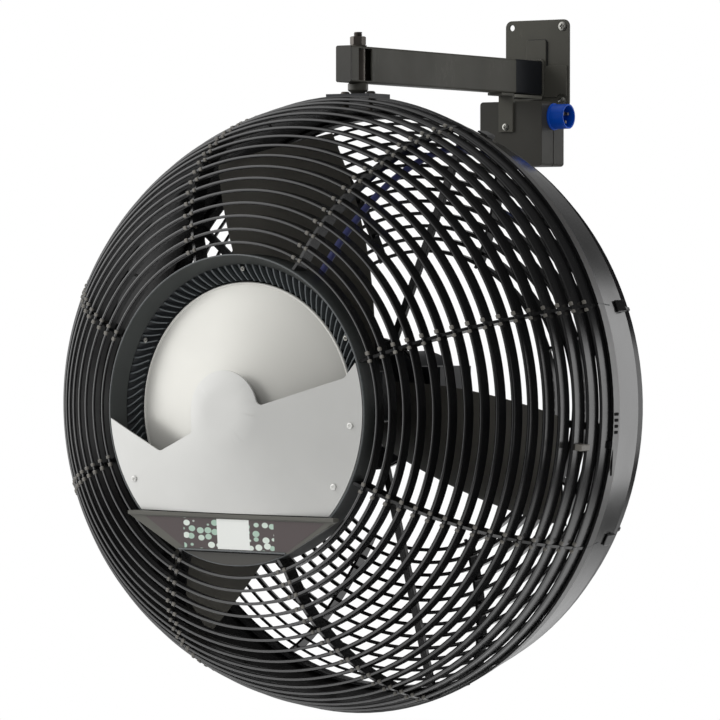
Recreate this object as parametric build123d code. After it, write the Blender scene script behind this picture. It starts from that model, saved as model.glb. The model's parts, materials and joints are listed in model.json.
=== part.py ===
from build123d import *
import math
import os

# Wall-mounted humidifying greenhouse fan: a swivelling fan head hangs under a wall arm.
# World frame: origin at the centre of the wall plate's back face, +Z up, the fan blows towards -Y.
# Fan frame: origin on the fan axis at the rim's back edge, x right, y up, z forward (world -Y).
# All lengths are millimetres, all angles degrees.

# ---- clearances -------------------------------------------------------------------------------
GAP = 0.3            # between separate curved pieces
RUN_FIT = 0.05       # radial, shaft or bolt in its bore

# ---- wall bracket -----------------------------------------------------------------------------
PLATE_W, PLATE_H, PLATE_T = 108.0, 131.0, 4.0
PLATE_CORNER_R = 10.0
MOUNT_SPACING_X, MOUNT_SPACING_Z = 87.0, 110.5
MOUNT_HOLE_R = 4.5
FLANGE_W, FLANGE_T = 104.0, 4.0
FLANGE_TOP, FLANGE_BOTTOM = -2.0, -48.0
TAB_W, TAB_TOP = 34.0, 36.0
ARM_W, ARM_H, ARM_WALL = 25.0, 50.0, 2.5
ARM_MID_Z = -20.0
ARM_CORNER_R = 3.0
KNUCKLE_LEN, TONGUE_LEN = 76.0, 60.0
NOSE_OVERHANG = 36.0     # arm in front of the pivot bolt
CAP_T, CAP_PLUG = 2.5, 12.0

# ---- pivot ------------------------------------------------------------------------------------
PIVOT_Y = -481.0         # swivel axis in front of the wall
BOLT_R = 6.0
NUT_AF, NUT_H = 19.0, 12.0
WASHER_R, WASHER_T = 12.0, 1.8
STUD_ABOVE_NUT = 6.0
BUSH_R, BUSH_SHOULDER_R, BUSH_SHOULDER_T = 10.0, 13.5, 2.5
COLLAR_R, COLLAR_CYL_H, COLLAR_TIP_R, COLLAR_H = 14.0, 10.0, 8.0, 15.35
WINDOW_L, WINDOW_EDGE = 34.0, 3.0        # opening in the arm's sides round the bush
CUT_MARGIN, BOLT_CUT = 5.0, 60.0         # how far cutting tools run past what they cut
SADDLE_W, SADDLE_L, SADDLE_T = 70.0, 54.0, 3.5
SADDLE_BOLT_X, SADDLE_BOLT_R, SADDLE_HEAD_R, SADDLE_HEAD_H = 21.0, 3.0, 6.5, 4.0
SADDLE_NUT_AF, SADDLE_NUT_H, SADDLE_NUT_DROP = 10.0, 5.0, 2.5

# ---- control box ------------------------------------------------------------------------------
BOX_X0, BOX_X1 = -46.0, 58.5
BOX_Y_FRONT, BOX_Y_SEAM, BOX_Y_BACK = -89.0, -55.5, -26.0
BOX_Z0, BOX_Z1 = -151.0, -57.0
BOX_WALL, BOX_CORNER_R = 3.0, 5.0
SEAL_T = 1.5
STRAP_W, STRAP_T, STRAP_FOOT, STRAP_LEN = 24.0, 4.0, 30.0, 56.0
STRAP_SCREW_DROP = 49.0
SCREW_R, SCREW_HEAD_R, SCREW_HEAD_H = 2.5, 5.0, 2.6
BOARD_T, BOARD_MARGIN = 1.6, 14.0
RELAY_W, RELAY_D, RELAY_LIFT = 20.0, 15.0, 8.0
LID_SCREW_R, LID_BOSS_R, LID_SCREW_INSET = 1.6, 4.2, 9.0
INLET_Y, INLET_Z = -55.5, -79.0
INLET_R, INLET_LEN, INLET_WALL = 18.0, 26.0, 2.6
INLET_FLANGE_R, INLET_FLANGE_T, INLET_NECK_R = 19.5, 2.6, 13.0
INLET_PIN_R, INLET_PIN_LEN, INLET_PIN_CIRCLE = 2.4, 15.0, 8.0
INLET_FLOOR = 6.0

# ---- fan head ---------------------------------------------------------------------------------
RIM_BACK_Y = -408.0      # rim's back edge in front of the wall
RIM_BACK_R, RIM_FLARE, RIM_DEPTH, RIM_T = 400.0, 22.0, 104.0, 2.5
RIM_FRONT_R = RIM_BACK_R + RIM_FLARE
SEGMENTS = 8
SEGMENT_START = 19.5     # first joint rib, anticlockwise from +x
RING_COUNT = 16
RING_PITCH_FIRST, RING_PITCH_LAST = 17.3, 26.0
RING_DEPTH, RING_T = 20.0, 4.0
RIB_T, RIB_BACK, RIB_FRONT, RIB_HEEL_H, RIB_HEEL_L = 4.0, 32.0, 4.0, 14.0, 12.0
DOME_RISE, DOME_BASE, DOME_POWER = 305.0, 60.0, 1.9
REAR_RING_COUNT, REAR_RING_PITCH, REAR_RING_FIRST = 12, 17.8, 8.0
REAR_RING_T, REAR_RING_DEPTH = 4.0, 10.0
REAR_RIB_T, REAR_RIB_DEPTH, REAR_RIB_REACH = 4.0, 14.0, 4.0
REAR_FLAT_R, REAR_BULGE, REAR_POWER = 205.0, 94.0, 1.7
REAR_SET_BACK, REAR_COLLAR = 2.0, 10.0

# ---- motor and rotor --------------------------------------------------------------------------
MOTOR_R, MOTOR_FRONT, MOTOR_BACK = 70.0, 60.0, -96.0
MOTOR_FLANGE_R, MOTOR_FLANGE_T = 90.0, 5.0
TERMINAL_X, TERMINAL_Y, TERMINAL_Z0, TERMINAL_Z1 = 100.0, 51.0, -60.0, 20.0
SPIDER_ARMS, SPIDER_FIRST = 5, -4.0      # arms that carry the motor in the rim
SPIDER_ARM_W, SPIDER_T, SPIDER_FRONT, SPIDER_HUB_R = 10.0, 8.0, 40.0, 92.0
MOTOR_WALL, BELL_T, BELL_LIP = 4.0, 8.0, 3.0
MOTOR_SCREW_CIRCLE, MOTOR_SCREW_COUNT = 80.0, 4
SHAFT_R = 8.0
BEARING_R, BEARING_W = 17.5, 11.0
CORE_R, CORE_LEN, AIR_GAP = 38.0, 64.0, 0.5
HUB_R, HUB_BACK, HUB_FRONT, HUB_WALL = 72.0, 74.0, 158.0, 4.0
HUB_BOSS_R = 18.0
BLADES = 3
BLADE_FIRST = 107.0      # clock position of the first blade, anticlockwise from +x
BLADE_TIP_R, BLADE_T = 366.0, 5.0
BLADE_ROOT_CHORD, BLADE_MID_CHORD, BLADE_TIP_CHORD = 120.0, 180.0, 165.0
BLADE_ROOT_PITCH, BLADE_MID_PITCH, BLADE_TIP_PITCH = 44.0, 31.0, 24.0
BLADE_FOOT = 30.0        # how far the root sections start inside the hub's barrel
BLADE_PLANE = 118.0      # mid-chord of the blades, in front of the rim's back edge

# ---- nose: atomiser, shield and drip tray ------------------------------------------------------
NOSE_R, NOSE_FRONT = 205.0, 367.0
DOME_R = RIM_FRONT_R + 2.0 - NOSE_R
BEZEL_INNER_R, BEZEL_INNER_DROP, BEZEL_T = 192.0, 22.0, 3.0
VANE_COUNT = 108
VANE_T, VANE_SWEEP = 1.5, 6.0
VANE_FLOOR, VANE_TOP = 326.0, 343.0
BEZEL_DEPTH = NOSE_FRONT - VANE_FLOOR
HOUSING_R, HOUSING_BACK_R, HOUSING_BACK, HOUSING_WALL = 178.0, 110.0, 284.0, 3.0
HOUSING_SHOULDER = 10.0  # rise of the back wall from its flat centre to its edge
HOUSING_BOSS_R, HOUSING_BOSS_LEN = 24.0, 22.0
DISC_R, DISC_EDGE_Z, DISC_LIP, DISC_T = 168.6, 335.0, 4.0, 2.0
DISC_TOP_R, DISC_TOP_Z = 30.0, 372.0
CARRIER_R, CARRIER_BOSS_R, CARRIER_BACK, CARRIER_T = 28.0, 15.0, 316.0, 4.0
DISC_NUT_AF, DISC_NUT_H = 24.0, 8.0
VANE_GAP = 1.4           # between the spinning disc's edge and the vanes
VANE_R_IN = DISC_R + VANE_GAP
CAP_R, CAP_EYE_R, CAP_FRONT = 53.0, 26.0, 396.0
SHIELD_T, SHIELD_EDGE_Z, SHIELD_SHOULDER = 2.5, 368.0, 5.0
SHIELD_BOTTOM, SHIELD_WIDE = -135.0, 260.0
SHIELD_NOTCH_R, SHIELD_HEEL_R, SHIELD_NECK_R = 12.0, 4.0, 8.0
SHIELD_SCREW_R, SHIELD_SCREW_ANGLES = 186.0, (-149.5, -31.0, -5.0)
SHIELD_HEAD_R, SHIELD_HEAD_H, SHIELD_SHANK_R, SHIELD_POST_R = 4.0, 2.0, 1.8, 4.5
TRAY_HALF_TOP, TRAY_HALF_BOTTOM = 165.0, 90.0
TRAY_TOP, TRAY_LIP_H, TRAY_BOTTOM = -136.0, 5.0, -185.0
TRAY_FRONT, TRAY_FOOT_Z, TRAY_BACK = 380.0, 371.0, NOSE_FRONT + GAP
TRAY_TROUGH_DEPTH, TRAY_WALL = 12.0, 2.5
TRAY_SLOT_L, TRAY_SLOT_H, TRAY_SLOT_Y = 56.0, 4.0, -178.0
VALVE_W, VALVE_Y0, VALVE_Y1, VALVE_DEPTH = 26.7, -13.0, 53.0, 20.0
VALVE_CORNER_R = 5.0
HOSE_R, HOSE_ANGLE = 4.5, 62.0
FITTING_R, FITTING_LEN, BARB_R, BARB_LEN = 8.0, 16.0, 5.0, 16.0
HOSE_START_R = RIM_BACK_R - RIM_T - REAR_RING_T - FITTING_R - GAP * 2
HOSE_ROUTE = [(HOSE_START_R, 0), (HOSE_START_R, 45), (393, 98), (388, 150), (368, 198), (337, 240), (297, 271), (252, 293),
              (206, 304)]  # (radius, z) in the plane of the hose
CLIP_W, CLIP_H, CLIP_L, CLIP_SET_BACK = 16.0, 5.0, 22.0, 12.0

PIVOT_Z_LOCAL = RIM_BACK_Y - PIVOT_Y
SADDLE_SEAT = RIM_BACK_R + RIM_FLARE * (PIVOT_Z_LOCAL + SADDLE_L / 2) / RIM_DEPTH + SADDLE_T
AXIS_Z = ARM_MID_Z - ARM_H / 2 - COLLAR_H - SADDLE_SEAT     # fan axis below the wall plate's centre
FAN = Pos(0, RIM_BACK_Y, AXIS_Z) * Rot(90, 0, 0)
ARM_TOP, ARM_BOTTOM = ARM_MID_Z + ARM_H / 2, ARM_MID_Z - ARM_H / 2
ARM_FRONT_Y = PIVOT_Y - NOSE_OVERHANG
ARM_BACK_Y = -PLATE_T - FLANGE_T - KNUCKLE_LEN

os.makedirs("parts", exist_ok=True)


def save(name, shape):
    """Write one node to its STEP file."""
    export_step(shape, f"parts/{name}.step")


def group(solids):
    """Separate solids that share one node."""
    return Compound(children=[s for shape in solids for s in shape.solids()])


def ring(r_out, r_in, z0, z1):
    """Plain tube along the local z axis."""
    return extrude(Plane.XY.offset(z0) * (Circle(r_out) - Circle(r_in)), z1 - z0)


def disc(r, z0, z1, x=0.0, y=0.0):
    """Plain cylinder along the local z axis."""
    return extrude(Plane.XY.offset(z0) * Pos(x, y) * Circle(r), z1 - z0)


def turned(points, angle=360.0):
    """Solid of revolution about the z axis from (radius, z) points."""
    face = make_face(Plane.XZ * Polyline(*points, close=True))
    return revolve(face, Axis.Z, angle)


def block(x0, x1, y0, y1, z0, z1):
    """Box between two corners."""
    return Pos((x0 + x1) / 2, (y0 + y1) / 2, (z0 + z1) / 2) * Box(x1 - x0, y1 - y0, z1 - z0)


def around(count, shape, start=0.0):
    """Copies of a shape spaced evenly about the z axis."""
    return [Rot(0, 0, start + 360.0 * i / count) * shape for i in range(count)]


# ---- wall bracket pieces ----------------------------------------------------------------------
def mount_points():
    """Centres of the four wall holes."""
    return [(sx * MOUNT_SPACING_X / 2, sz * MOUNT_SPACING_Z / 2) for sx in (-1, 1) for sz in (-1, 1)]


def wall_plate():
    plane = Plane.XZ
    outline = RectangleRounded(PLATE_W, PLATE_H, PLATE_CORNER_R)
    for x, z in mount_points():
        outline -= Pos(x, z) * Circle(MOUNT_HOLE_R)
    return extrude(plane * outline, PLATE_T)


def arm_flange():
    """T-shaped flange welded on the wall plate."""
    low = block(-FLANGE_W / 2, FLANGE_W / 2, -PLATE_T - FLANGE_T, -PLATE_T, FLANGE_BOTTOM, FLANGE_TOP)
    tab = block(-TAB_W / 2, TAB_W / 2, -PLATE_T - FLANGE_T, -PLATE_T, FLANGE_TOP, TAB_TOP)
    flange = low + tab
    corners = flange.edges().filter_by(Axis.Y).sort_by(Axis.Z)[-2:]
    flange = fillet(corners, PLATE_CORNER_R / 3)
    for x, z in mount_points():
        flange -= Pos(x, 0, z) * Rot(90, 0, 0) * Cylinder(MOUNT_HOLE_R + 7.0, 40.0)
    return flange


def arm_section(shrink):
    """Rounded rectangular section of the arm, reduced all round."""
    return RectangleRounded(ARM_W - 2 * shrink, ARM_H - 2 * shrink, max(ARM_CORNER_R - shrink, 0.4))


def along_arm(section, y_front, y_back):
    """Extrude a section of the arm between two distances from the wall."""
    plane = Plane((0, y_back, ARM_MID_Z), x_dir=(1, 0, 0), z_dir=(0, -1, 0))
    return extrude(plane * section, y_back - y_front)


def arm_knuckle():
    """Solid end block with a tongue that plugs into the arm."""
    block_end = along_arm(arm_section(0.0), ARM_BACK_Y, -PLATE_T - FLANGE_T)
    tongue = along_arm(arm_section(ARM_WALL + GAP), ARM_BACK_Y - TONGUE_LEN, ARM_BACK_Y)
    return block_end + tongue


def arm_tube():
    tube = along_arm(arm_section(0.0) - arm_section(ARM_WALL), ARM_FRONT_Y + CAP_T, ARM_BACK_Y)
    tube -= block(-ARM_W, ARM_W, PIVOT_Y - WINDOW_L / 2, PIVOT_Y + WINDOW_L / 2, ARM_BOTTOM + WINDOW_EDGE,
                  ARM_TOP - WINDOW_EDGE)
    return tube - Pos(0, PIVOT_Y, ARM_MID_Z) * Cylinder(BUSH_R + GAP, ARM_H * 2)


def arm_cap():
    """Plug that closes the arm's front end."""
    face = along_arm(arm_section(0.0), ARM_FRONT_Y, ARM_FRONT_Y + CAP_T)
    return face + along_arm(arm_section(ARM_WALL + GAP), ARM_FRONT_Y + CAP_T, ARM_FRONT_Y + CAP_T + CAP_PLUG)


def pivot_bush():
    """Plain bearing through the arm, flush with both faces."""
    return Pos(0, PIVOT_Y, 0) * ring(BUSH_R, BOLT_R + RUN_FIT, ARM_BOTTOM, ARM_TOP)


# ---- control box pieces -----------------------------------------------------------------------
def box_shell(y_front, y_back, open_back):
    """One half of the control box, open towards the seam."""
    x_mid, z_mid = (BOX_X0 + BOX_X1) / 2, (BOX_Z0 + BOX_Z1) / 2
    plane = Plane((x_mid, y_back, z_mid), x_dir=(1, 0, 0), z_dir=(0, -1, 0))
    width, height = BOX_X1 - BOX_X0, BOX_Z1 - BOX_Z0
    body = extrude(plane * RectangleRounded(width, height, BOX_CORNER_R), y_back - y_front)
    inner = RectangleRounded(width - 2 * BOX_WALL, height - 2 * BOX_WALL, BOX_CORNER_R - BOX_WALL)
    start = 0.0 if open_back else BOX_WALL
    depth = y_back - y_front - BOX_WALL
    body -= extrude(plane.offset(start) * inner, depth)
    return body - inlet_hole()


def inlet_axis():
    """Frame of the power inlet: z points out of the box's side."""
    return Pos(BOX_X1, INLET_Y, INLET_Z) * Rot(0, 90, 0)


def inlet_hole():
    return inlet_axis() * disc(INLET_NECK_R + GAP, -BOX_WALL * 2, BOX_WALL)


def lid_screw_points():
    """Corner screw positions of the control box."""
    xs = (BOX_X0 + LID_SCREW_INSET, BOX_X1 - LID_SCREW_INSET)
    zs = (BOX_Z0 + LID_SCREW_INSET, BOX_Z1 - LID_SCREW_INSET)
    return [(x, z) for x in xs for z in zs]


def post(x, z, r, y_front, y_back):
    """Round post along Y."""
    return Pos(x, y_back, z) * Rot(90, 0, 0) * disc(r, 0.0, y_back - y_front)


def control_box_base():
    base = box_shell(BOX_Y_SEAM + SEAL_T / 2, BOX_Y_BACK, open_back=False)
    for x, z in lid_screw_points():
        base -= post(x, z, LID_SCREW_R + GAP, BOX_Y_BACK - BOX_WALL * 2, BOX_Y_BACK + 1)
    return base


def control_box_lid():
    lid = box_shell(BOX_Y_FRONT, BOX_Y_SEAM - SEAL_T / 2, open_back=True)
    for x, z in lid_screw_points():
        lid += post(x, z, LID_BOSS_R, BOX_Y_FRONT + BOX_WALL, BOX_Y_SEAM - SEAL_T / 2)
        lid -= post(x, z, LID_SCREW_R, BOX_Y_FRONT + BOX_WALL * 2, BOX_Y_SEAM)
    return lid - post(0.0, strap_screw_z(), SCREW_R, BOX_Y_FRONT - 1, BOX_Y_FRONT + BOX_WALL + 1)


def box_seal():
    """Gasket between the two halves."""
    x_mid, z_mid = (BOX_X0 + BOX_X1) / 2, (BOX_Z0 + BOX_Z1) / 2
    plane = Plane((x_mid, BOX_Y_SEAM + SEAL_T / 2, z_mid), x_dir=(1, 0, 0), z_dir=(0, -1, 0))
    width, height = BOX_X1 - BOX_X0, BOX_Z1 - BOX_Z0
    outer = RectangleRounded(width - 1, height - 1, BOX_CORNER_R - 0.5)
    inner = RectangleRounded(width - 2 * BOX_WALL, height - 2 * BOX_WALL, BOX_CORNER_R - BOX_WALL)
    return extrude(plane * (outer - inner), SEAL_T) - inlet_hole()


def box_screws():
    screws = []
    for x, z in lid_screw_points():
        shank = post(x, z, LID_SCREW_R - RUN_FIT, BOX_Y_FRONT + BOX_WALL * 3, BOX_Y_BACK)
        screws.append(shank + post(x, z, LID_SCREW_R * 2, BOX_Y_BACK, BOX_Y_BACK + 2))
    return group(screws)


def control_board():
    y = BOX_Y_BACK - BOX_WALL
    board = block(BOX_X0 + BOARD_MARGIN, BOX_X1 - BOARD_MARGIN, y - BOARD_T, y, BOX_Z0 + BOARD_MARGIN,
                  BOX_Z1 - BOARD_MARGIN * 2)
    low = BOX_Z0 + BOARD_MARGIN + RELAY_LIFT
    relay = block(-RELAY_W / 2, RELAY_W / 2, y - BOARD_T - RELAY_D, y - BOARD_T, low, low + RELAY_W)
    return board + relay


def strap_screw_z():
    return ARM_BOTTOM - STRAP_SCREW_DROP


def box_strap():
    """Angle bracket that hangs the control box under the arm."""
    y0 = BOX_Y_FRONT - STRAP_T
    leg = block(-STRAP_W / 2, STRAP_W / 2, y0, BOX_Y_FRONT, ARM_BOTTOM - STRAP_LEN, ARM_BOTTOM)
    foot = block(-STRAP_W / 2, STRAP_W / 2, y0 - STRAP_FOOT, y0, ARM_BOTTOM - STRAP_T, ARM_BOTTOM)
    return leg + foot - post(0.0, strap_screw_z(), SCREW_R + GAP, y0 - 1, BOX_Y_FRONT + 1)


def strap_screw():
    y0 = BOX_Y_FRONT - STRAP_T
    head = post(0.0, strap_screw_z(), SCREW_HEAD_R, y0 - SCREW_HEAD_H, y0)
    return head + post(0.0, strap_screw_z(), SCREW_R - RUN_FIT, y0, BOX_Y_FRONT + BOX_WALL)


def inlet_socket():
    """Shroud of the appliance inlet with its flange and neck."""
    shell = disc(INLET_R, 0.0, INLET_LEN) - disc(INLET_R - INLET_WALL, INLET_FLOOR, INLET_LEN + 1)
    shell += disc(INLET_FLANGE_R, 0.0, INLET_FLANGE_T)
    shell += disc(INLET_NECK_R, -BOX_WALL, 0.0)
    for pin in around(3, disc(INLET_PIN_R + RUN_FIT, -BOX_WALL * 3, INLET_LEN, INLET_PIN_CIRCLE)):
        shell -= pin
    return inlet_axis() * shell


def inlet_pins():
    pin = disc(INLET_PIN_R, -BOX_WALL * 2, INLET_FLOOR + INLET_PIN_LEN, INLET_PIN_CIRCLE)
    return inlet_axis() * group(around(3, pin))


# ---- pivot pieces -----------------------------------------------------------------------------
def rim_outer_r(z):
    """Outer radius of the rim band at a depth."""
    return RIM_BACK_R + (RIM_FRONT_R - RIM_BACK_R) * z / RIM_DEPTH


def pivot_washer():
    return Pos(0, PIVOT_Y, 0) * ring(WASHER_R, BOLT_R + RUN_FIT, ARM_TOP, ARM_TOP + WASHER_T)


def pivot_nut():
    hexagon = RegularPolygon(NUT_AF / 2, 6, major_radius=False)
    nut = extrude(Plane.XY.offset(ARM_TOP + WASHER_T) * (hexagon - Circle(BOLT_R + RUN_FIT)), NUT_H)
    return Pos(0, PIVOT_Y, 0) * nut


def pivot_bolt():
    """Stud welded to the saddle, with the nut on its top."""
    top = ARM_TOP + WASHER_T + NUT_H + STUD_ABOVE_NUT
    stud = disc(BOLT_R, AXIS_Z + SADDLE_SEAT, top)
    return Pos(0, PIVOT_Y, 0) * chamfer(stud.edges().sort_by(Axis.Z)[-1], 1.0)


def swivel_collar():
    """Turned collar between the arm and the saddle."""
    low = AXIS_Z + SADDLE_SEAT
    points = [(BOLT_R + RUN_FIT, low), (COLLAR_TIP_R, low), (COLLAR_R, ARM_BOTTOM - COLLAR_CYL_H),
              (COLLAR_R, ARM_BOTTOM - 1.5), (COLLAR_R - 1.5, ARM_BOTTOM), (BOLT_R + RUN_FIT, ARM_BOTTOM)]
    return Pos(0, PIVOT_Y, 0) * turned(points)


def rim_cone(grow, z0, z1):
    """Solid frustum that follows the rim's outer face."""
    r0, r1 = rim_outer_r(z0) + grow, rim_outer_r(z1) + grow
    return turned([(0, z0), (r0, z0), (r1, z1), (0, z1)])


def saddle():
    """Pad on the top of the rim, shaped to it, that carries the stud."""
    z0, z1 = PIVOT_Z_LOCAL - SADDLE_L / 2, PIVOT_Z_LOCAL + SADDLE_L / 2
    pad = block(-SADDLE_W / 2, SADDLE_W / 2, RIM_BACK_R * 0.9, SADDLE_SEAT, z0, z1)
    pad -= rim_cone(GAP, -CUT_MARGIN, RIM_DEPTH + CUT_MARGIN)
    for side in (-1, 1):
        pad -= saddle_bolt_axis(side) * disc(SADDLE_BOLT_R + GAP, -BOLT_CUT, BOLT_CUT)
    return FAN * pad


def saddle_bolt_axis(side):
    """Frame of one saddle bolt: z points up, origin on the saddle's top."""
    return Pos(side * SADDLE_BOLT_X, SADDLE_SEAT, PIVOT_Z_LOCAL) * Rot(-90, 0, 0)


def saddle_bolt_reach():
    """Length from the saddle's top to the inside of the rim."""
    low = math.sqrt(rim_outer_r(PIVOT_Z_LOCAL) ** 2 - SADDLE_BOLT_X ** 2)
    return SADDLE_SEAT - low + RIM_T


def saddle_bolts():
    bolts = []
    for side in (-1, 1):
        head = disc(SADDLE_HEAD_R, 0.0, SADDLE_HEAD_H)
        head = chamfer(head.edges().sort_by(Axis.Z)[-1], SADDLE_HEAD_H * 0.5)
        low = -saddle_bolt_reach() - SADDLE_NUT_DROP - SADDLE_NUT_H - SADDLE_BOLT_R
        bolt = head + disc(SADDLE_BOLT_R, low, 0.0)
        bolts.append(FAN * saddle_bolt_axis(side) * bolt)
    return group(bolts)


def saddle_nuts():
    nuts = []
    for side in (-1, 1):
        low = -saddle_bolt_reach() - SADDLE_NUT_DROP - SADDLE_NUT_H
        hexagon = RegularPolygon(SADDLE_NUT_AF / 2, 6, major_radius=False) - Circle(SADDLE_BOLT_R + RUN_FIT)
        nuts.append(FAN * saddle_bolt_axis(side) * extrude(Plane.XY.offset(low) * hexagon, SADDLE_NUT_H))
    return group(nuts)


# ---- guards -----------------------------------------------------------------------------------
def dome_point(t):
    """(radius, z) on the front guard's profile; t runs from 0 at the nose to 1 at the rim."""
    angle = t * math.pi / 2
    radius = NOSE_R + DOME_R * math.sin(angle) ** (2 / DOME_POWER)
    return radius, DOME_BASE + DOME_RISE * math.cos(angle) ** (2 / DOME_POWER)


def ring_stations():
    """(radius, z) of each guard ring's front edge, with a pitch that grows towards the rim."""
    steps = 1500
    curve = [dome_point(i / steps) for i in range(steps + 1)]
    stations, travelled = [], 0.0
    wanted = RING_PITCH_FIRST
    for before, after in zip(curve, curve[1:]):
        travelled += math.dist(before, after)
        if travelled >= wanted and len(stations) < RING_COUNT:
            stations.append(after)
            share = len(stations) / RING_COUNT
            wanted += RING_PITCH_FIRST + (RING_PITCH_LAST - RING_PITCH_FIRST) * share
    return stations


def guard_ring(radius, z, angle):
    """Louvre ring with a thick front edge and a thin back edge."""
    points = [(radius - RING_T, z), (radius, z), (radius, z - RING_DEPTH)]
    return turned(points, angle)


def joint_rib(stations):
    """Rib that carries the rings of one segment, from the nose to the rim."""
    rim_r = rim_outer_r(RIM_DEPTH - RIB_HEEL_H) - RIM_T - GAP
    outer = [(NOSE_R + GAP, NOSE_FRONT - RIB_FRONT)] + [(r, z - RIB_FRONT) for r, z in stations]
    outer += [(rim_outer_r(RIM_DEPTH) - RIM_T - GAP, RIM_DEPTH)]
    inner = [(r - RING_T, z - RIB_BACK) for r, z in reversed(stations)]
    inner += [(NOSE_R + GAP, NOSE_FRONT - RIB_BACK)]
    heel = [(rim_r, RIM_DEPTH - RIB_HEEL_H), (rim_r - RIB_HEEL_L, RIM_DEPTH - RIB_HEEL_H)]
    face = make_face(Plane.XZ * Polyline(*outer, *heel, *inner, close=True))
    return extrude(face, RIB_T)


def front_guard_segments():
    """Equal dome segments, each with its own joint rib and louvre rings."""
    stations = ring_stations()
    sweep = 360.0 / SEGMENTS
    segment = joint_rib(stations)
    segment = segment.fuse(*[guard_ring(r, z, sweep) for r, z in stations])
    return [FAN * copy for copy in around(SEGMENTS, segment, SEGMENT_START)]


def rim_band():
    """Conical band round the impeller, with a lip at its back edge."""
    points = [(RIM_BACK_R - RIM_T, 0.0), (RIM_BACK_R, 0.0), (RIM_FRONT_R, RIM_DEPTH),
              (RIM_FRONT_R - RIM_T, RIM_DEPTH)]
    band = turned(points)
    for side in (-1, 1):
        band -= saddle_bolt_axis(side) * disc(SADDLE_BOLT_R + GAP, -BOLT_CUT, BOLT_CUT)
    return FAN * band


def rear_outer_r():
    """Radius of the rear guard's outer ring, inside the rim's back edge."""
    return RIM_BACK_R - RIM_T - GAP


def rear_profile(share):
    """(radius, z) on the rear guard's dome; share runs from 0 at its inner ring to 1 at the rim."""
    angle = share * math.pi / 2
    radius = REAR_FLAT_R + (rear_outer_r() - REAR_FLAT_R) * math.sin(angle) ** (2 / REAR_POWER)
    return radius, -REAR_SET_BACK - REAR_BULGE * math.cos(angle) ** (2 / REAR_POWER)


def rear_stations():
    """(radius, z) of each rear ring's front edge, at an equal pitch along the dome."""
    steps = 1500
    curve = [rear_profile(i / steps) for i in range(steps + 1)]
    stations, travelled = [], 0.0
    for before, after in zip(curve, curve[1:]):
        travelled += math.dist(before, after)
        if travelled >= REAR_RING_FIRST + REAR_RING_PITCH * len(stations) and len(stations) < REAR_RING_COUNT:
            stations.append(after)
    return stations


def rear_rib(stations):
    """Rib that carries the rear rings of one joint, from the inner ring to the rim."""
    outer = rear_outer_r()
    front = [(r - REAR_RING_T - REAR_RIB_REACH, z + REAR_RIB_REACH) for r, z in stations]
    back = [(r, z - REAR_RIB_DEPTH) for r, z in reversed(stations)]
    seat = [(outer - REAR_RING_T / 2, REAR_COLLAR - REAR_RIB_REACH),
            (outer - REAR_RING_T / 2, -REAR_RIB_DEPTH + REAR_SET_BACK)]
    return extrude(make_face(Plane.XZ * Polyline(*front, *seat, *back, close=True)), REAR_RIB_T)


def hose_seat(r, z0, z1):
    """Cylinder round the hose's start, along the fan axis."""
    return Rot(0, 0, HOSE_ANGLE) * disc(r, z0, z1, HOSE_START_R)


def rear_guard():
    """Domed rear guard with an open middle: wedge rings on joint ribs, and a seat for the hose tail."""
    outer, stations = rear_outer_r(), rear_stations()
    body = ring(outer, outer - REAR_RING_T, -REAR_RIB_DEPTH + REAR_SET_BACK, REAR_COLLAR)
    rings = [turned([(r - REAR_RING_T, z), (r, z), (r, z - REAR_RING_DEPTH)]) for r, z in stations]
    lug = hose_seat(FITTING_R + REAR_RING_T, -REAR_RIB_DEPTH + REAR_SET_BACK, 0.0) & disc(outer, MOTOR_BACK, 0.0)
    body = body.fuse(lug, *around(SEGMENTS, rear_rib(stations), SEGMENT_START), *rings)
    return FAN * (body - hose_seat(FITTING_R + GAP, -REAR_BULGE, REAR_COLLAR * 2))


# ---- motor and rotor --------------------------------------------------------------------------
def motor_screw_shape(grow):
    """Shank of one motor screw through the spider and the motor flange."""
    top = SPIDER_FRONT + MOTOR_FLANGE_T
    return disc(SCREW_R + grow, SPIDER_FRONT - SPIDER_T, top, MOTOR_SCREW_CIRCLE)


def motor_spider():
    """Ring with arms that carries the motor in the rim."""
    low = SPIDER_FRONT - SPIDER_T
    hub = ring(SPIDER_HUB_R, MOTOR_R + GAP, low, SPIDER_FRONT)
    arm = block(SPIDER_HUB_R - 2, RIM_FRONT_R, -SPIDER_ARM_W / 2, SPIDER_ARM_W / 2, low, SPIDER_FRONT)
    body = hub.fuse(*around(SPIDER_ARMS, arm, SPIDER_FIRST)) & rim_cone(-RIM_T - GAP, low, SPIDER_FRONT)
    for hole in around(MOTOR_SCREW_COUNT, motor_screw_shape(GAP)):
        body -= hole
    return FAN * body


def motor_housing():
    """Motor can with its mounting flange and terminal box, open at both ends for the bells."""
    can = ring(MOTOR_R, MOTOR_R - MOTOR_WALL, MOTOR_BACK, MOTOR_FRONT)
    can += ring(MOTOR_FLANGE_R, MOTOR_R - 1, SPIDER_FRONT, SPIDER_FRONT + MOTOR_FLANGE_T)
    box = block(0.0, TERMINAL_X, 0.0, TERMINAL_Y, TERMINAL_Z0, TERMINAL_Z1)
    hollow = block(0.0, TERMINAL_X - MOTOR_WALL, MOTOR_WALL, TERMINAL_Y - MOTOR_WALL, TERMINAL_Z0 + MOTOR_WALL,
                   TERMINAL_Z1 - MOTOR_WALL)
    can += (box - hollow) - disc(MOTOR_R - 1, TERMINAL_Z0 - 1, TERMINAL_Z1 + 1)
    for hole in around(MOTOR_SCREW_COUNT, motor_screw_shape(GAP)):
        can -= hole
    return FAN * can


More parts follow.
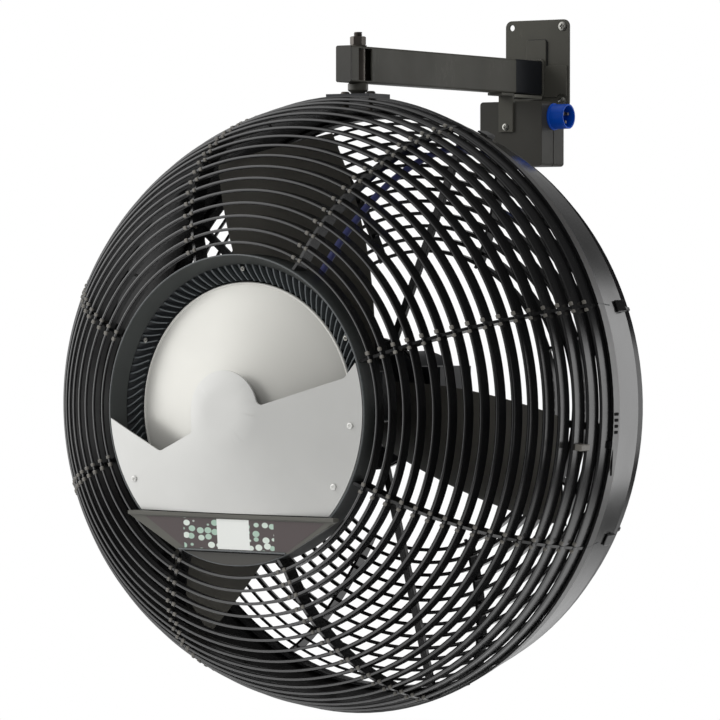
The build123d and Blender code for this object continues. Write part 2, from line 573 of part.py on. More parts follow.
def bell():
    """End bell with a bearing seat; its outer face is at z = 0 and it reaches up from there."""
    body = ring(MOTOR_R - MOTOR_WALL - GAP, SHAFT_R + BELL_LIP, 0.0, BELL_T)
    body += ring(BEARING_R + BELL_T / 2, SHAFT_R + BELL_LIP, 0.0, BELL_LIP + BEARING_W)
    return body - disc(BEARING_R + RUN_FIT, BELL_LIP, BELL_LIP + BEARING_W + 1)


def motor_bells():
    front = Pos(0, 0, MOTOR_FRONT) * Rot(180, 0, 0) * bell()
    return front, Pos(0, 0, MOTOR_BACK) * bell()


def bearings():
    """The motor's two ball bearings and the one in the nose, as plain rings."""
    starts = (MOTOR_BACK + BELL_LIP, MOTOR_FRONT - BELL_LIP - BEARING_W, HOUSING_BACK + HOUSING_WALL)
    return FAN * group([ring(BEARING_R, SHAFT_R + RUN_FIT, z, z + BEARING_W) for z in starts])


def motor_stator():
    """Laminated stator pressed in the middle of the motor can."""
    middle = (MOTOR_BACK + MOTOR_FRONT) / 2
    return FAN * ring(MOTOR_R - MOTOR_WALL - GAP, CORE_R + AIR_GAP, middle - CORE_LEN / 2, middle + CORE_LEN / 2)


def motor_core():
    """Motor's rotor core on the shaft."""
    middle = (MOTOR_BACK + MOTOR_FRONT) / 2
    return FAN * ring(CORE_R, SHAFT_R + RUN_FIT, middle - CORE_LEN / 2, middle + CORE_LEN / 2)


def motor_screws():
    """Four screws that clamp the motor flange to its spider."""
    low = SPIDER_FRONT - SPIDER_T
    head = disc(SCREW_HEAD_R, low - SCREW_HEAD_H, low, MOTOR_SCREW_CIRCLE)
    return FAN * group(around(MOTOR_SCREW_COUNT, head + motor_screw_shape(-RUN_FIT)))


def shaft():
    return FAN * disc(SHAFT_R, MOTOR_BACK + BELL_LIP, DISC_TOP_Z + DISC_NUT_H + SHAFT_R / 2)


def impeller_hub():
    """Cup-shaped hub, open at the back, on its boss."""
    cup = disc(HUB_R, HUB_BACK, HUB_FRONT) - disc(HUB_R - HUB_WALL, HUB_BACK - 1, HUB_FRONT - HUB_WALL)
    cup = fillet(cup.edges().filter_by(GeomType.CIRCLE).sort_by(Axis.Z)[-1], 3.0)
    cup += disc(HUB_BOSS_R, HUB_BACK, HUB_FRONT)
    return FAN * (cup - disc(SHAFT_R + RUN_FIT, HUB_BACK - 1, HUB_FRONT + 1))


def blade_section(radius, chord, pitch):
    """Thin cambered section square to the blade's span."""
    rise = chord * 0.06
    upper = ThreePointArc((-chord / 2, 0), (0, rise + BLADE_T / 2), (chord / 2, 0))
    lower = ThreePointArc((chord / 2, 0), (0, rise - BLADE_T / 2), (-chord / 2, 0))
    plane = Plane((radius, 0, BLADE_PLANE), x_dir=(0, 1, 0), z_dir=(1, 0, 0))
    return plane * Rot(0, 0, pitch) * make_face(upper + lower)


def blade():
    """Twisted blade whose root is cut to the hub's barrel."""
    root_r, mid_r = HUB_R - BLADE_FOOT, (HUB_R + BLADE_TIP_R) / 2
    sections = [blade_section(root_r, BLADE_ROOT_CHORD, BLADE_ROOT_PITCH),
                blade_section(mid_r, BLADE_MID_CHORD, BLADE_MID_PITCH),
                blade_section(BLADE_TIP_R, BLADE_TIP_CHORD, BLADE_TIP_PITCH)]
    return loft(sections) - disc(HUB_R + GAP, HUB_BACK - BLADE_ROOT_CHORD, HUB_FRONT + BLADE_ROOT_CHORD)


# ---- nose -------------------------------------------------------------------------------------
def nose_bezel():
    """Front ring with its bevelled face; the guard's ribs seat on its outside."""
    z_in = NOSE_FRONT - BEZEL_INNER_DROP
    points = [(NOSE_R, NOSE_FRONT - BEZEL_DEPTH), (NOSE_R, NOSE_FRONT - 1.5), (NOSE_R - 2.0, NOSE_FRONT),
              (BEZEL_INNER_R, z_in + 1.0), (BEZEL_INNER_R, z_in), (BEZEL_INNER_R + BEZEL_T, z_in - 1.0),
              (NOSE_R - BEZEL_T, NOSE_FRONT - 5.0), (NOSE_R - BEZEL_T, NOSE_FRONT - BEZEL_DEPTH)]
    return FAN * turned(points)


def atomiser_ring():
    """Ring of raked vanes that breaks up the water thrown by the disc."""
    base = ring(NOSE_R - BEZEL_T - GAP, VANE_R_IN, VANE_FLOOR, VANE_FLOOR + 2.0)
    base += ring(NOSE_R - BEZEL_T - GAP, BEZEL_INNER_R + 2.0, VANE_FLOOR, VANE_TOP - 1.5)
    start = Vector(BEZEL_INNER_R + 3.0, 0)
    end = Vector(VANE_R_IN + VANE_T / 2, 0).rotate(Axis.Z, -VANE_SWEEP)
    side = (end - start).normalized().rotate(Axis.Z, 90) * (VANE_T / 2)
    outline = Polyline(start + side, start - side, end - side, end + side, close=True)
    vane = extrude(Plane.XY.offset(VANE_FLOOR + 1.0) * make_face(outline), VANE_TOP - VANE_FLOOR - 1.0)
    return FAN * base.fuse(*around(VANE_COUNT, vane))


def nose_housing():
    """Cone-shaped back shell of the nose with the front bearing's boss."""
    w, edge = HOUSING_WALL, HOUSING_BACK + HOUSING_SHOULDER
    points = [(HOUSING_BOSS_R, HOUSING_BACK), (HOUSING_BACK_R, HOUSING_BACK), (HOUSING_R, edge),
              (HOUSING_R, VANE_FLOOR), (HOUSING_R - w, VANE_FLOOR), (HOUSING_R - w, edge + w),
              (HOUSING_BACK_R, HOUSING_BACK + w), (HOUSING_BOSS_R, HOUSING_BACK + w)]
    shell = turned(points)
    boss = ring(HOUSING_BOSS_R + 1, SHAFT_R + 3.0, HOUSING_BACK, HOUSING_BACK + HOUSING_BOSS_LEN)
    boss -= disc(BEARING_R + RUN_FIT, HOUSING_BACK + w, HOUSING_BACK + HOUSING_BOSS_LEN + 1)
    return FAN * (shell + boss)


def atomiser_disc():
    """Spun metal cone that throws the water at the vanes, with a rolled edge."""
    edge = DISC_EDGE_Z + DISC_LIP
    points = [(SHAFT_R + RUN_FIT, DISC_TOP_Z), (DISC_TOP_R, DISC_TOP_Z), (DISC_R - DISC_LIP, edge),
              (DISC_R, edge + DISC_T / 2), (DISC_R, DISC_EDGE_Z), (DISC_R - DISC_LIP, edge - DISC_T),
              (DISC_TOP_R, DISC_TOP_Z - DISC_T), (SHAFT_R + RUN_FIT, DISC_TOP_Z - DISC_T)]
    return FAN * turned(points)


def disc_carrier():
    """Flanged boss on the shaft that the disc is clamped to."""
    seat = DISC_TOP_Z - DISC_T
    points = [(SHAFT_R + RUN_FIT, CARRIER_BACK), (CARRIER_BOSS_R, CARRIER_BACK),
              (CARRIER_BOSS_R, seat - CARRIER_T * 2), (CARRIER_R, seat - CARRIER_T), (CARRIER_R, seat),
              (SHAFT_R + RUN_FIT, seat)]
    return FAN * turned(points)


def disc_nut():
    hexagon = RegularPolygon(DISC_NUT_AF / 2, 6, major_radius=False) - Circle(SHAFT_R + RUN_FIT)
    return FAN * extrude(Plane.XY.offset(DISC_TOP_Z) * hexagon, DISC_NUT_H)


def shield_outline():
    """Front view of the lower shield: a disc sector with a round cap over the hub."""
    notch, heel, neck = (-112, -56), (-CAP_R, -30), (52, 6.5)
    lower = make_face(Polyline((-SHIELD_WIDE, 13), notch, heel, (-CAP_R, 0), (46, 4.7), (176, 45), (192, 66),
                               (SHIELD_WIDE, 66), (SHIELD_WIDE, SHIELD_BOTTOM), (-SHIELD_WIDE, SHIELD_BOTTOM),
                               close=True))
    outline = lower + Circle(CAP_R)
    for point, radius in ((notch, SHIELD_NOTCH_R), (heel, SHIELD_HEEL_R), (neck, SHIELD_NECK_R)):
        corner = outline.vertices().sort_by(lambda v: math.dist((v.X, v.Y), point))[0]
        outline = fillet(corner, radius)
    return outline & Circle(NOSE_R - 3.0)


def front_shield():
    """Silver shield that closes the lower part of the nose."""
    t = SHIELD_T
    points = [(0, CAP_FRONT - t), (0, CAP_FRONT), (CAP_EYE_R, CAP_FRONT), (CAP_R, CAP_FRONT - SHIELD_SHOULDER),
              (NOSE_R, SHIELD_EDGE_Z), (NOSE_R, SHIELD_EDGE_Z - t), (CAP_R, CAP_FRONT - SHIELD_SHOULDER - t)]
    shell = turned(points) & extrude(Plane.XY.offset(VANE_FLOOR) * shield_outline(), CAP_FRONT - VANE_FLOOR + 1)
    for angle in SHIELD_SCREW_ANGLES:
        shell -= Rot(0, 0, angle) * disc(SHIELD_SHANK_R + GAP, VANE_FLOOR, CAP_FRONT, SHIELD_SCREW_R)
    return FAN * shell


def shield_face_z(radius):
    """Height of the shield's front face at a radius outside its cap."""
    share = (radius - CAP_R) / (NOSE_R - CAP_R)
    return CAP_FRONT - SHIELD_SHOULDER + (SHIELD_EDGE_Z - CAP_FRONT + SHIELD_SHOULDER) * share


def shield_posts():
    """Moulded posts between the vane ring and the shield."""
    top = shield_face_z(SHIELD_SCREW_R + SHIELD_POST_R) - SHIELD_T - GAP
    posts = []
    for angle in SHIELD_SCREW_ANGLES:
        body = disc(SHIELD_POST_R, VANE_TOP, top, SHIELD_SCREW_R)
        posts.append(Rot(0, 0, angle) * (body - disc(SHIELD_SHANK_R, VANE_TOP - 1, top + 1, SHIELD_SCREW_R)))
    return FAN * group(posts)


def shield_screws():
    top = shield_face_z(SHIELD_SCREW_R - SHIELD_HEAD_R) + GAP
    screws = []
    for angle in SHIELD_SCREW_ANGLES:
        screw = disc(SHIELD_HEAD_R, top, top + SHIELD_HEAD_H, SHIELD_SCREW_R)
        screw += disc(SHIELD_SHANK_R - RUN_FIT, VANE_TOP + SHIELD_POST_R, top, SHIELD_SCREW_R)
        screws.append(Rot(0, 0, angle) * screw)
    return FAN * group(screws)


def drip_tray():
    """Trough across the chin with a lip above, a sloping front panel and two drain slots."""
    side = Polyline((TRAY_TOP, TRAY_BACK), (TRAY_TOP, TRAY_FRONT), (TRAY_TOP - TRAY_LIP_H, TRAY_FRONT),
                    (TRAY_TOP - TRAY_LIP_H, TRAY_FRONT - 3.0), (TRAY_BOTTOM, TRAY_FOOT_Z + 2.0),
                    (TRAY_BOTTOM, TRAY_BACK), close=True)
    body = extrude(Plane.YZ.offset(-TRAY_HALF_TOP) * make_face(side), 2 * TRAY_HALF_TOP)
    front = Polyline((-TRAY_HALF_TOP, TRAY_TOP), (TRAY_HALF_TOP, TRAY_TOP), (TRAY_HALF_TOP, TRAY_TOP - TRAY_LIP_H),
                     (TRAY_HALF_BOTTOM, TRAY_BOTTOM), (-TRAY_HALF_BOTTOM, TRAY_BOTTOM),
                     (-TRAY_HALF_TOP, TRAY_TOP - TRAY_LIP_H), close=True)
    body &= extrude(Plane.XY.offset(TRAY_BACK) * make_face(front), TRAY_FRONT - TRAY_BACK)
    half = TRAY_HALF_TOP - TRAY_WALL * 2
    body -= block(-half, half, TRAY_TOP - TRAY_TROUGH_DEPTH, TRAY_TOP + 1, TRAY_BACK + TRAY_WALL,
                  TRAY_FRONT - TRAY_WALL - 3.0)
    for side in (-1, 1):
        middle = side * (TRAY_SLOT_L / 2 + TRAY_WALL * 2)
        body -= block(middle - TRAY_SLOT_L / 2, middle + TRAY_SLOT_L / 2, TRAY_SLOT_Y - TRAY_SLOT_H / 2,
                      TRAY_SLOT_Y + TRAY_SLOT_H / 2, TRAY_FOOT_Z, TRAY_FRONT)
    return FAN * body


def valve_box():
    """Small housing of the water valve beside the nose."""
    top = VANE_FLOOR - GAP
    left = HOUSING_R + GAP
    body = block(left, left + VALVE_W, VALVE_Y0, VALVE_Y1, top - VALVE_DEPTH, top)
    return FAN * fillet(body.edges().filter_by(Axis.Z), VALVE_CORNER_R)


def hose_frame():
    """Frame of the hose's plane: x runs outwards, y forward along the fan axis."""
    return FAN * Rot(0, 0, HOSE_ANGLE) * Rot(90, 0, 0)


def hose_radii():
    """Bend radius at each inner point of the route, as large as its two runs allow."""
    radii = []
    for a, b, c in zip(HOSE_ROUTE, HOSE_ROUTE[1:], HOSE_ROUTE[2:]):
        turn = abs(math.atan2(b[1] - a[1], b[0] - a[0]) - math.atan2(c[1] - b[1], c[0] - b[0]))
        radii.append(0.45 * min(math.dist(a, b), math.dist(b, c)) / math.tan(turn / 2))
    return radii


def water_hose():
    """Feed hose from the back of the rim to the nose, inside the front guard."""
    path = FilletPolyline(*HOSE_ROUTE, radius=hose_radii())
    section = Plane(path @ 0, z_dir=path % 0) * Circle(HOSE_R)
    return hose_frame() * sweep(section, path)


def hose_end(tip, before):
    """Frame at one end of the hose: z points out of the hose."""
    direction = Vector(tip[0] - before[0], tip[1] - before[1], 0)
    return hose_frame() * Plane(Vector(*tip, 0), z_dir=direction).location


def nose_fitting():
    """Straight fitting that carries the hose into the nose housing."""
    tip, before = HOSE_ROUTE[-1], HOSE_ROUTE[-2]
    reach = tip[0] - HOUSING_R
    body = disc(FITTING_R, 0.0, reach + FITTING_R)
    return (hose_end(tip, before) * body) - FAN * disc(HOUSING_R + GAP, HOUSING_BACK, VANE_FLOOR + 1)


def rim_fitting():
    """Hose tail at the rim's back edge, held by a lug on the rear guard's outer ring."""
    tip, before = HOSE_ROUTE[0], HOSE_ROUTE[1]
    back = REAR_SET_BACK + FITTING_LEN
    body = disc(FITTING_R, 0.0, back) + disc(BARB_R, back, back + BARB_LEN)
    return hose_end(tip, before) * body


def rim_clips():
    """Screwed ears that join the rim at the segment joints."""
    z_mid = CLIP_SET_BACK + CLIP_L / 2
    low = rim_outer_r(z_mid - CLIP_L / 2) - 1.0
    ear = block(low, rim_outer_r(z_mid) + CLIP_H, -CLIP_W / 2, CLIP_W / 2, z_mid - CLIP_L / 2,
                z_mid + CLIP_L / 2)
    ear -= rim_cone(GAP, -CUT_MARGIN, RIM_DEPTH + CUT_MARGIN)
    return FAN * group(around(SEGMENTS, ear, SEGMENT_START))


def build_all():
    """Write every node."""
    nodes = {
        "wall_plate": wall_plate(), "arm_flange": arm_flange(), "arm_knuckle": arm_knuckle(),
        "arm_tube": arm_tube(), "arm_cap": arm_cap(), "pivot_bush": pivot_bush(),
        "control_box_base": control_box_base(), "control_box_lid": control_box_lid(),
        "box_seal": box_seal(), "box_screws": box_screws(), "control_board": control_board(),
        "box_strap": box_strap(), "strap_screw": strap_screw(), "inlet_socket": inlet_socket(),
        "inlet_pins": inlet_pins(),
        "pivot_washer": pivot_washer(), "pivot_nut": pivot_nut(), "pivot_bolt": pivot_bolt(),
        "swivel_collar": swivel_collar(), "saddle": saddle(), "saddle_bolts": saddle_bolts(),
        "saddle_nuts": saddle_nuts(), "rim_band": rim_band(),
        "rear_guard": rear_guard(), "motor_spider": motor_spider(), "motor_housing": motor_housing(),
        "motor_front_bell": FAN * motor_bells()[0], "motor_back_bell": FAN * motor_bells()[1],
        "motor_stator": motor_stator(), "bearings": bearings(), "motor_screws": motor_screws(),
        "motor_core": motor_core(),
        "motor_shaft": shaft(), "impeller_hub": impeller_hub(), "nose_bezel": nose_bezel(),
        "atomiser_ring": atomiser_ring(), "nose_housing": nose_housing(),
        "atomiser_disc": atomiser_disc(), "disc_carrier": disc_carrier(), "disc_nut": disc_nut(),
        "water_hose": water_hose(), "nose_fitting": nose_fitting(), "rim_fitting": rim_fitting(),
        "rim_clips": rim_clips(), "front_shield": front_shield(), "shield_posts": shield_posts(),
        "shield_screws": shield_screws(), "drip_tray": drip_tray(), "valve_box": valve_box(),
    }
    for i, shape in enumerate(around(BLADES, blade(), BLADE_FIRST)):
        nodes[f"blade_{i + 1}"] = FAN * shape
    for i, shape in enumerate(front_guard_segments()):
        nodes[f"front_guard_segment_{i + 1}"] = shape
    for name, shape in nodes.items():
        save(name, shape)


build_all()
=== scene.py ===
import functools
import json
import math

import bmesh
import bpy
import numpy as np
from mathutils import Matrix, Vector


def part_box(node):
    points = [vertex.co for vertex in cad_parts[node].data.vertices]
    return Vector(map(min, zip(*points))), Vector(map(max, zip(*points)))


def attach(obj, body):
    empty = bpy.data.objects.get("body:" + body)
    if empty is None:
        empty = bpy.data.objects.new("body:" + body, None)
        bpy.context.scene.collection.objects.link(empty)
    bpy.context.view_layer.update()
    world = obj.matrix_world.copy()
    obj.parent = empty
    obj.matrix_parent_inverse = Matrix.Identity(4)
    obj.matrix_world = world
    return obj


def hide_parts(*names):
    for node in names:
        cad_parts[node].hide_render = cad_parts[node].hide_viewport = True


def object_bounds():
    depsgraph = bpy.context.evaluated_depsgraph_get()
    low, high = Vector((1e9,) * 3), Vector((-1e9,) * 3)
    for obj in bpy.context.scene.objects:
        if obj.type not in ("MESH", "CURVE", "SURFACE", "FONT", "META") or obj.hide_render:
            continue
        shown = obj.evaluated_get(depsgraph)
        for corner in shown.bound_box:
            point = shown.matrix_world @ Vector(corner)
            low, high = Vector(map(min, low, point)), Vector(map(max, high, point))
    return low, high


bl_info = {
    "name": "Wall fan builder",
    "version": (1, 0, 0),
    "blender": (4, 5, 0),
    "location": "3D View > Sidebar > Wall fan",
    "description": "Builds the detailed pieces, finishes and studio of a wall-mounted humidifying fan",
    "category": "Add Mesh",
}

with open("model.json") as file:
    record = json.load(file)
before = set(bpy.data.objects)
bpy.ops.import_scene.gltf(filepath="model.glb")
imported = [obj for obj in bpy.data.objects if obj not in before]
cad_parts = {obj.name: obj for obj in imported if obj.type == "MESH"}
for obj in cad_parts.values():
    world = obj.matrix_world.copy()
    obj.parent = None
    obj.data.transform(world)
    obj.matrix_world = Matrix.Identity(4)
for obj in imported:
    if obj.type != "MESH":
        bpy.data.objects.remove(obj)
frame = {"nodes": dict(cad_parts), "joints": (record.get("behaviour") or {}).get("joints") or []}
CAD_BOX = [list(corner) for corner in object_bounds()]
NODES = frame["nodes"]
MM = 0.001
AXIS = np.array(next(j["pos_m"] for j in frame["joints"] if j["name"] == "rotor_spin"), float)  # at the rim's back edge
HEAD, ROTOR, BRACKET = "fan_head", "rotor", "wall_bracket"

# Lengths in millimetres in the fan frame (x right, y up, z forward along the air stream), and degrees about its axis.
# A block has its middle, half sizes and chamfer, and a screw head its radius, height and share of the recess.
SEGMENTS, SEGMENT_START = 8, 19.5
SEGMENT_ANGLES = [SEGMENT_START + 360.0 / SEGMENTS * k for k in range(SEGMENTS)]
RING_COUNT, PITCH_FIRST, PITCH_LAST = 16, 17.3, 26.0
NOSE_R, NOSE_FRONT = 205.0, 367.0
DOME_R, DOME_RISE, DOME_BASE, DOME_POWER = 219.0, 305.0, 60.0, 1.9
RIM_INNER_R, RIM_DEPTH = 419.2, 104.0
RIB_T, RIB_SET_BACK, SCREWED_RINGS, RIB_HEAD = 4.0, 8.0, (2, 8), (3.6, 2.2)
SHEEN_FROM_R = 392.0  # painted sheen: louvres past this radius get the more reflective copy of the plastic on their outer faces
CLIP_PAIR = ((3.6, 2.6), (-6.9, 2.2))   # place across the joint and half width of each clip
LARGE_CLIP, LARGE_CLIP_ANGLE = ((409.6, 0.0, 160.0), (5.4, 4.2, 11.0), 1.0), -6.5
LATCH_BLOCKS = (*(((420.0, y, 96.0), (1.2, 2.0, 6.0), 0.4) for y in (20.0, 12.0, 4.0, -4.0)),
                ((414.6, 8.0, 105.0), (4.6, 18.0, 1.2), 0.6), ((414.0, -20.0, 106.0), (6.5, 5.0, 2.6), 0.8),
                ((419.2, -44.0, 99.0), (1.1, 17.0, 1.1), 0.4))
LATCH_ANGLE = -3.4
# Sections of (radius, z) points.
SEAM_OUTER, SEAM_INNER, SEAM_HALF = ((422.0, 103.4), (412.7, 58.0)), ((421.0, 103.4), (411.7, 58.0)), 0.7
FLANGE_SECTION = ((416.5, 80.0), (417.25, 80.0), (421.95, 103.7), (421.0, 103.7))

VANES, VANE_R_IN, VANE_R_OUT, VANE_FLOOR, VANE_TOP, VANE_RAKE = 108, 170.0, 201.7, 326.0, 343.0, 5.0
DISC_R, DISC_EDGE_Z, DISC_TOP_R, DISC_TOP_Z, DISC_BORE_R, DISC_WIRE_R = 168.6, 335.0, 30.0, 372.0, 8.05, 2.2
REAR_FLAT_R, REAR_OUTER_R, REAR_BULGE, REAR_POWER, REAR_SET_BACK = 205.0, 397.2, 94.0, 1.7, 2.0
REAR_RINGS, REAR_FIRST, REAR_PITCH, REAR_LIP_R = 12, 8.0, 17.8, 374.0
CAP_R, CAP_BASE_Z, SHIELD_EDGE_Z, SHIELD_SCREW_R = 53.0, 391.0, 368.0, 186.0
SHIELD_SCREW_ANGLES, RING_SCREW_ANGLES, RING_SCREW_R = (-149.5, -31.0, -5.0), (91.0, 151.0, 31.0), 186.0
SHIELD_HEAD, SHANK_R, SHANK_FOOT_Z, PIP, RING_HEAD = (4.0, 2.2), 1.75, 348.0, (1.8, 0.6, 0.0), (3.4, 1.8)
TRAY_TOP_Y, TRAY_FOOT_Y, TRAY_TOP_Z, TRAY_FOOT_Z, TRAY_LIP_HALF, TRAY_LIP_R = -141.0, -185.0, 377.0, 373.0, 86.0, 1.3
LABEL_CORNERS = ((150.0, -142.8), (-137.0, -142.8), (-76.0, -182.6), (89.0, -182.6))
CHIN_HALF, CHIN_TOP_Y, BEZEL_LIP_R = 77.5, -187.6, 1.1
# Lengths in millimetres in the row frame.
TAB_W, TAB_FOOT_Z = 34.0, -30.0
# The first is the radius of the thin dark bead that paints the shadow line round the flange's tab.
TAB_SHADOW_LINE_R, NUT_BORE_R, THREAD_LENGTH, STRAP_HEAD_H = 0.9, 6.05, 9.0, 2.6
WALL_HEAD = (6.6, 2.6, 0.6)
HANGER = ((0.0, -48.5, -48.6), (12.0, 39.5, 2.6), 0.8)
WALL_SCREWS_X, WALL_SCREWS_Z = 43.5, (55.25, -55.25)
# Studio, in metres: each softbox has its place from the middle, its size, and its power in watts.
STUDIO_MIDDLE = np.array([0.0, -0.5, -0.45])
SOFTBOXES = (("key_softbox", (-2.0, -1.8, 1.9), 1.5, 44.0), ("front_strip", (0.9, -3.0, 0.9), 0.7, 12.0),
             ("back_softbox", (1.8, 2.4, 1.4), 1.6, 16.0))
FLOOR_Y, FLOOR_DROP, FLOOR_REACH, FLOOR_GREY, FLOOR_GLOW = -0.45, 0.25, 2.1, 0.72, 0.38
CAMERA_SPOT, CAMERA_AIM, LENS = (3.0312, -5.0588, -0.2973), (-0.5515, 0.8338, -0.0232), 200.0
# World for gloss, in steps: two values of a part of the direction, or of how far it is from PANEL_X or UNDER_Z, and
# the strength at both.
PANEL_BACK, PANEL_X, PANEL_ACROSS = (0.5, 0.8, 0.0, 1.3), 0.25, (0.27, 0.5, 1.0, 0.0)
PANEL_LEVEL, LEFT_WALL, LEFT_FRONT = (0.16, 0.24, 1.0, 0.0), (0.15, -1.1, 0.1, 2.0), (0.7, -0.2, 0.35, 1.0)
LOW_WALL, UNDER_Z, UNDER_LEVEL, UNDER_BACK = (-0.8, 0.2, 0.3, 1.0), -0.5, (0.3, 0.1, 0.0, 0.4), (0.5, 0.8, 0.0, 1.0)
SOFT_LIGHT = 0.6
WHITE = (1.0, 1.0, 1.0, 1.0)
COPY_SMOOTH = 32.0  # faces of a CAD node's copy up to this angle apart, in degrees, shade smoothly
OCTAGON = np.radians(np.arange(0, 360, 45))


# ---- colours and sizes that a user changes
def srgb(code):
    """Linear colour of a hex code."""
    parts = [int(code[i:i + 2], 16) / 255 for i in (0, 2, 4)]
    return tuple(p / 12.92 if p <= 0.04045 else ((p + 0.055) / 1.055) ** 2.4 for p in parts)


def colour(label, code):
    return bpy.props.FloatVectorProperty(name=label, description=f"Base colour of the {label.lower()}",
                                         subtype="COLOR", size=3, min=0.0, max=1.0, default=srgb(code))


def length(label, description, millimetres):
    return bpy.props.FloatProperty(name=label, description=description, unit="LENGTH", min=0.0,
                                   default=millimetres * MM)


class FanColours(bpy.types.PropertyGroup):
    """Colours of the fan's finishes."""
    guard: colour("Guard plastic", "131314")
    # Painted highlight: the clips are lighter than the guard plastic to stand for the light they catch.
    tabs: colour("Guard clips", "74716b")
    blades: colour("Impeller blades", "5a5852")
    fins: colour("Atomiser fins", "5b6062")
    # Painted shade: the near-black shield underside stands for the shade between the shield and the disc.
    inner: colour("Shield underside", "0e0f11")
    rim: colour("Rim band", "151515")
    bezel: colour("Nose bezel", "414443")
    # Painted highlight in part: the rolled lips are lighter than the bezel so their thin bright line shows.
    lips: colour("Rolled lips", "5c5f60")
    vanes: colour("Vane plastic", "2e3134")
    silver: colour("Silver shield", "d2d2cf")
    disc: colour("Spinning disc", "d2d1cb")
    tray: colour("Drip tray", "5a5953")
    panel: colour("Tray panel", "504747")
    arm: colour("Arm paint", "4a4943")
    box: colour("Control box paint", "393834")
    motor: colour("Motor paint", "202226")
    steel: colour("Zinc plated steel", "b4b3ad")
    stud: colour("Pivot hardware", "6f6963")
    inlet: colour("Mains inlet", "0048b4")
    hose: colour("Water hose", "555a92")


class FanSizes(bpy.types.PropertyGroup):
    """Sizes of the detail that Blender adds to the fan."""
    ring_width: length("Louvre width", "Radial width of a louvre ring at its front lip", 4.0)
    ring_depth: length("Louvre depth", "Depth of the louvre ring next to the nose", 16.0)
    ring_growth: length("Louvre growth", "How much deeper the louvre ring at the rim is", 13.0)
    rib_depth: length("Rib depth", "Depth of a joint rib behind the dome", 32.0)
    vane_thickness: length("Vane thickness", "Thickness of an atomiser vane", 2.4)
    edge_bevel: length("Edge bevel", "Rounding of the edges of pressed and moulded pieces", 0.7)
    bead_radius: length("Weld bead", "Radius of the weld beads", 2.2)


# ---- mesh from grids
def to_row(points):
    """Fan frame in millimetres to the row frame in metres: x stays, y is up, z is forward."""
    p = np.asarray(points, float) * MM
    return np.stack([AXIS[0] + p[..., 0], AXIS[1] - p[..., 2], AXIS[2] + p[..., 1]], -1)


def metres(points):
    return points * MM


def spin(points, degrees):
    """Points turned anticlockwise about the fan axis."""
    c, s = math.cos(math.radians(degrees)), math.sin(math.radians(degrees))
    x, y = points[..., 0] * c - points[..., 1] * s, points[..., 0] * s + points[..., 1] * c
    return np.stack([x, y, points[..., 2]], -1)


def surface(points, close_u=False, caps=False):
    """Quads over a grid whose rows are loops; close_u joins the last row to the first, and caps shuts both."""
    m, n = points.shape[:2]
    u = np.arange(m if close_u else m - 1)[:, None]
    v = np.arange(n)[None, :]
    u2, v2 = (u + 1) % m, (v + 1) % n
    quads = np.stack(np.broadcast_arrays(u * n + v, u * n + v2, u2 * n + v2, u2 * n + v), -1).reshape(-1, 4)
    flat, tris = points.reshape(-1, 3), np.zeros((0, 3), int)
    if caps:
        k, last, middle = np.arange(n), (m - 1) * n, np.full(n, m * n)
        k2 = (k + 1) % n
        tris = np.concatenate([np.stack([middle, k2, k], -1), np.stack([middle + 1, last + k, last + k2], -1)])
        flat = np.concatenate([flat, [points[0].mean(0), points[-1].mean(0)]])
    return flat, quads, tris


def whole_turn(steps):
    """Angles of equal steps round a circle."""
    return np.linspace(0, 2 * math.pi, steps, endpoint=False)


def polar(radius, angle, z):
    """Points at a radius, an angle and a height, where each may be a number or an array."""
    return np.stack(np.broadcast_arrays(radius * np.cos(angle), radius * np.sin(angle), z), -1)


def circle(middle, radius, angles):
    """Points at angles round a middle."""
    return polar(radius, angles, 0.0)[:, :2] + middle


def lathe(profile, start=0.0, sweep=360.0, steps=96):
    """Closed profile of (radius, z) points carried round the fan axis; a part turn gets end caps."""
    whole = sweep >= 360.0
    angle = np.radians(start + np.linspace(0.0, sweep, steps + 1)[:steps if whole else None])[:, None]
    r, z = np.asarray(profile, float).T
    return surface(polar(r, angle, z), close_u=whole, caps=not whole)


def strip(outer, inner, y0, y1):
    """Flat bar between two polylines of (radius, z) points, from y0 to y1 across the radial plane."""
    o, i = np.asarray(outer, float), np.asarray(inner, float)
    corner = [(o, y0), (o, y1), (i, y1), (i, y0)]
    grid = np.stack([np.stack([p[:, 0], np.full(len(p), y), p[:, 1]], -1) for p, y in corner], 1)
    return surface(grid, caps=True)


def pad(centre, half, chamfer):
    """Rounded block: an outline of eight points that shrinks by the chamfer at both faces."""
    hx, hy, hz = half
    c = chamfer
    outline = np.array([(hx, hy - c), (hx - c, hy), (c - hx, hy), (-hx, hy - c),
                        (-hx, c - hy), (c - hx, -hy), (hx - c, -hy), (hx, c - hy)])
    levels = [(-hz, c), (c - hz, 0.0), (hz - c, 0.0), (hz, c)]
    grid = np.stack([np.column_stack([outline * (1 - np.array([shrink / hx, shrink / hy])),
                                      np.full(8, level)]) for level, shrink in levels])
    return surface(grid + np.asarray(centre, float), caps=True)


def moved(part, change=to_row):
    """The same surface with its points changed by a function."""
    return change(part[0]), part[1], part[2]


def around(parts, angles):
    """The surfaces in the row frame, once at each angle about the fan axis."""
    return [moved(part, lambda p: to_row(spin(p, angle))) for angle in angles for part in parts]


def forwards(part, y):
    """The surface turned from +z towards -y, with its foot at y."""
    return moved(part, lambda p: np.stack([p[:, 0], y - p[:, 2], p[:, 1]], -1))


def box_mm(node):
    """Low and high corners of a CAD node's box, in millimetres."""
    return (np.array(corner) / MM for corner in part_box(node))


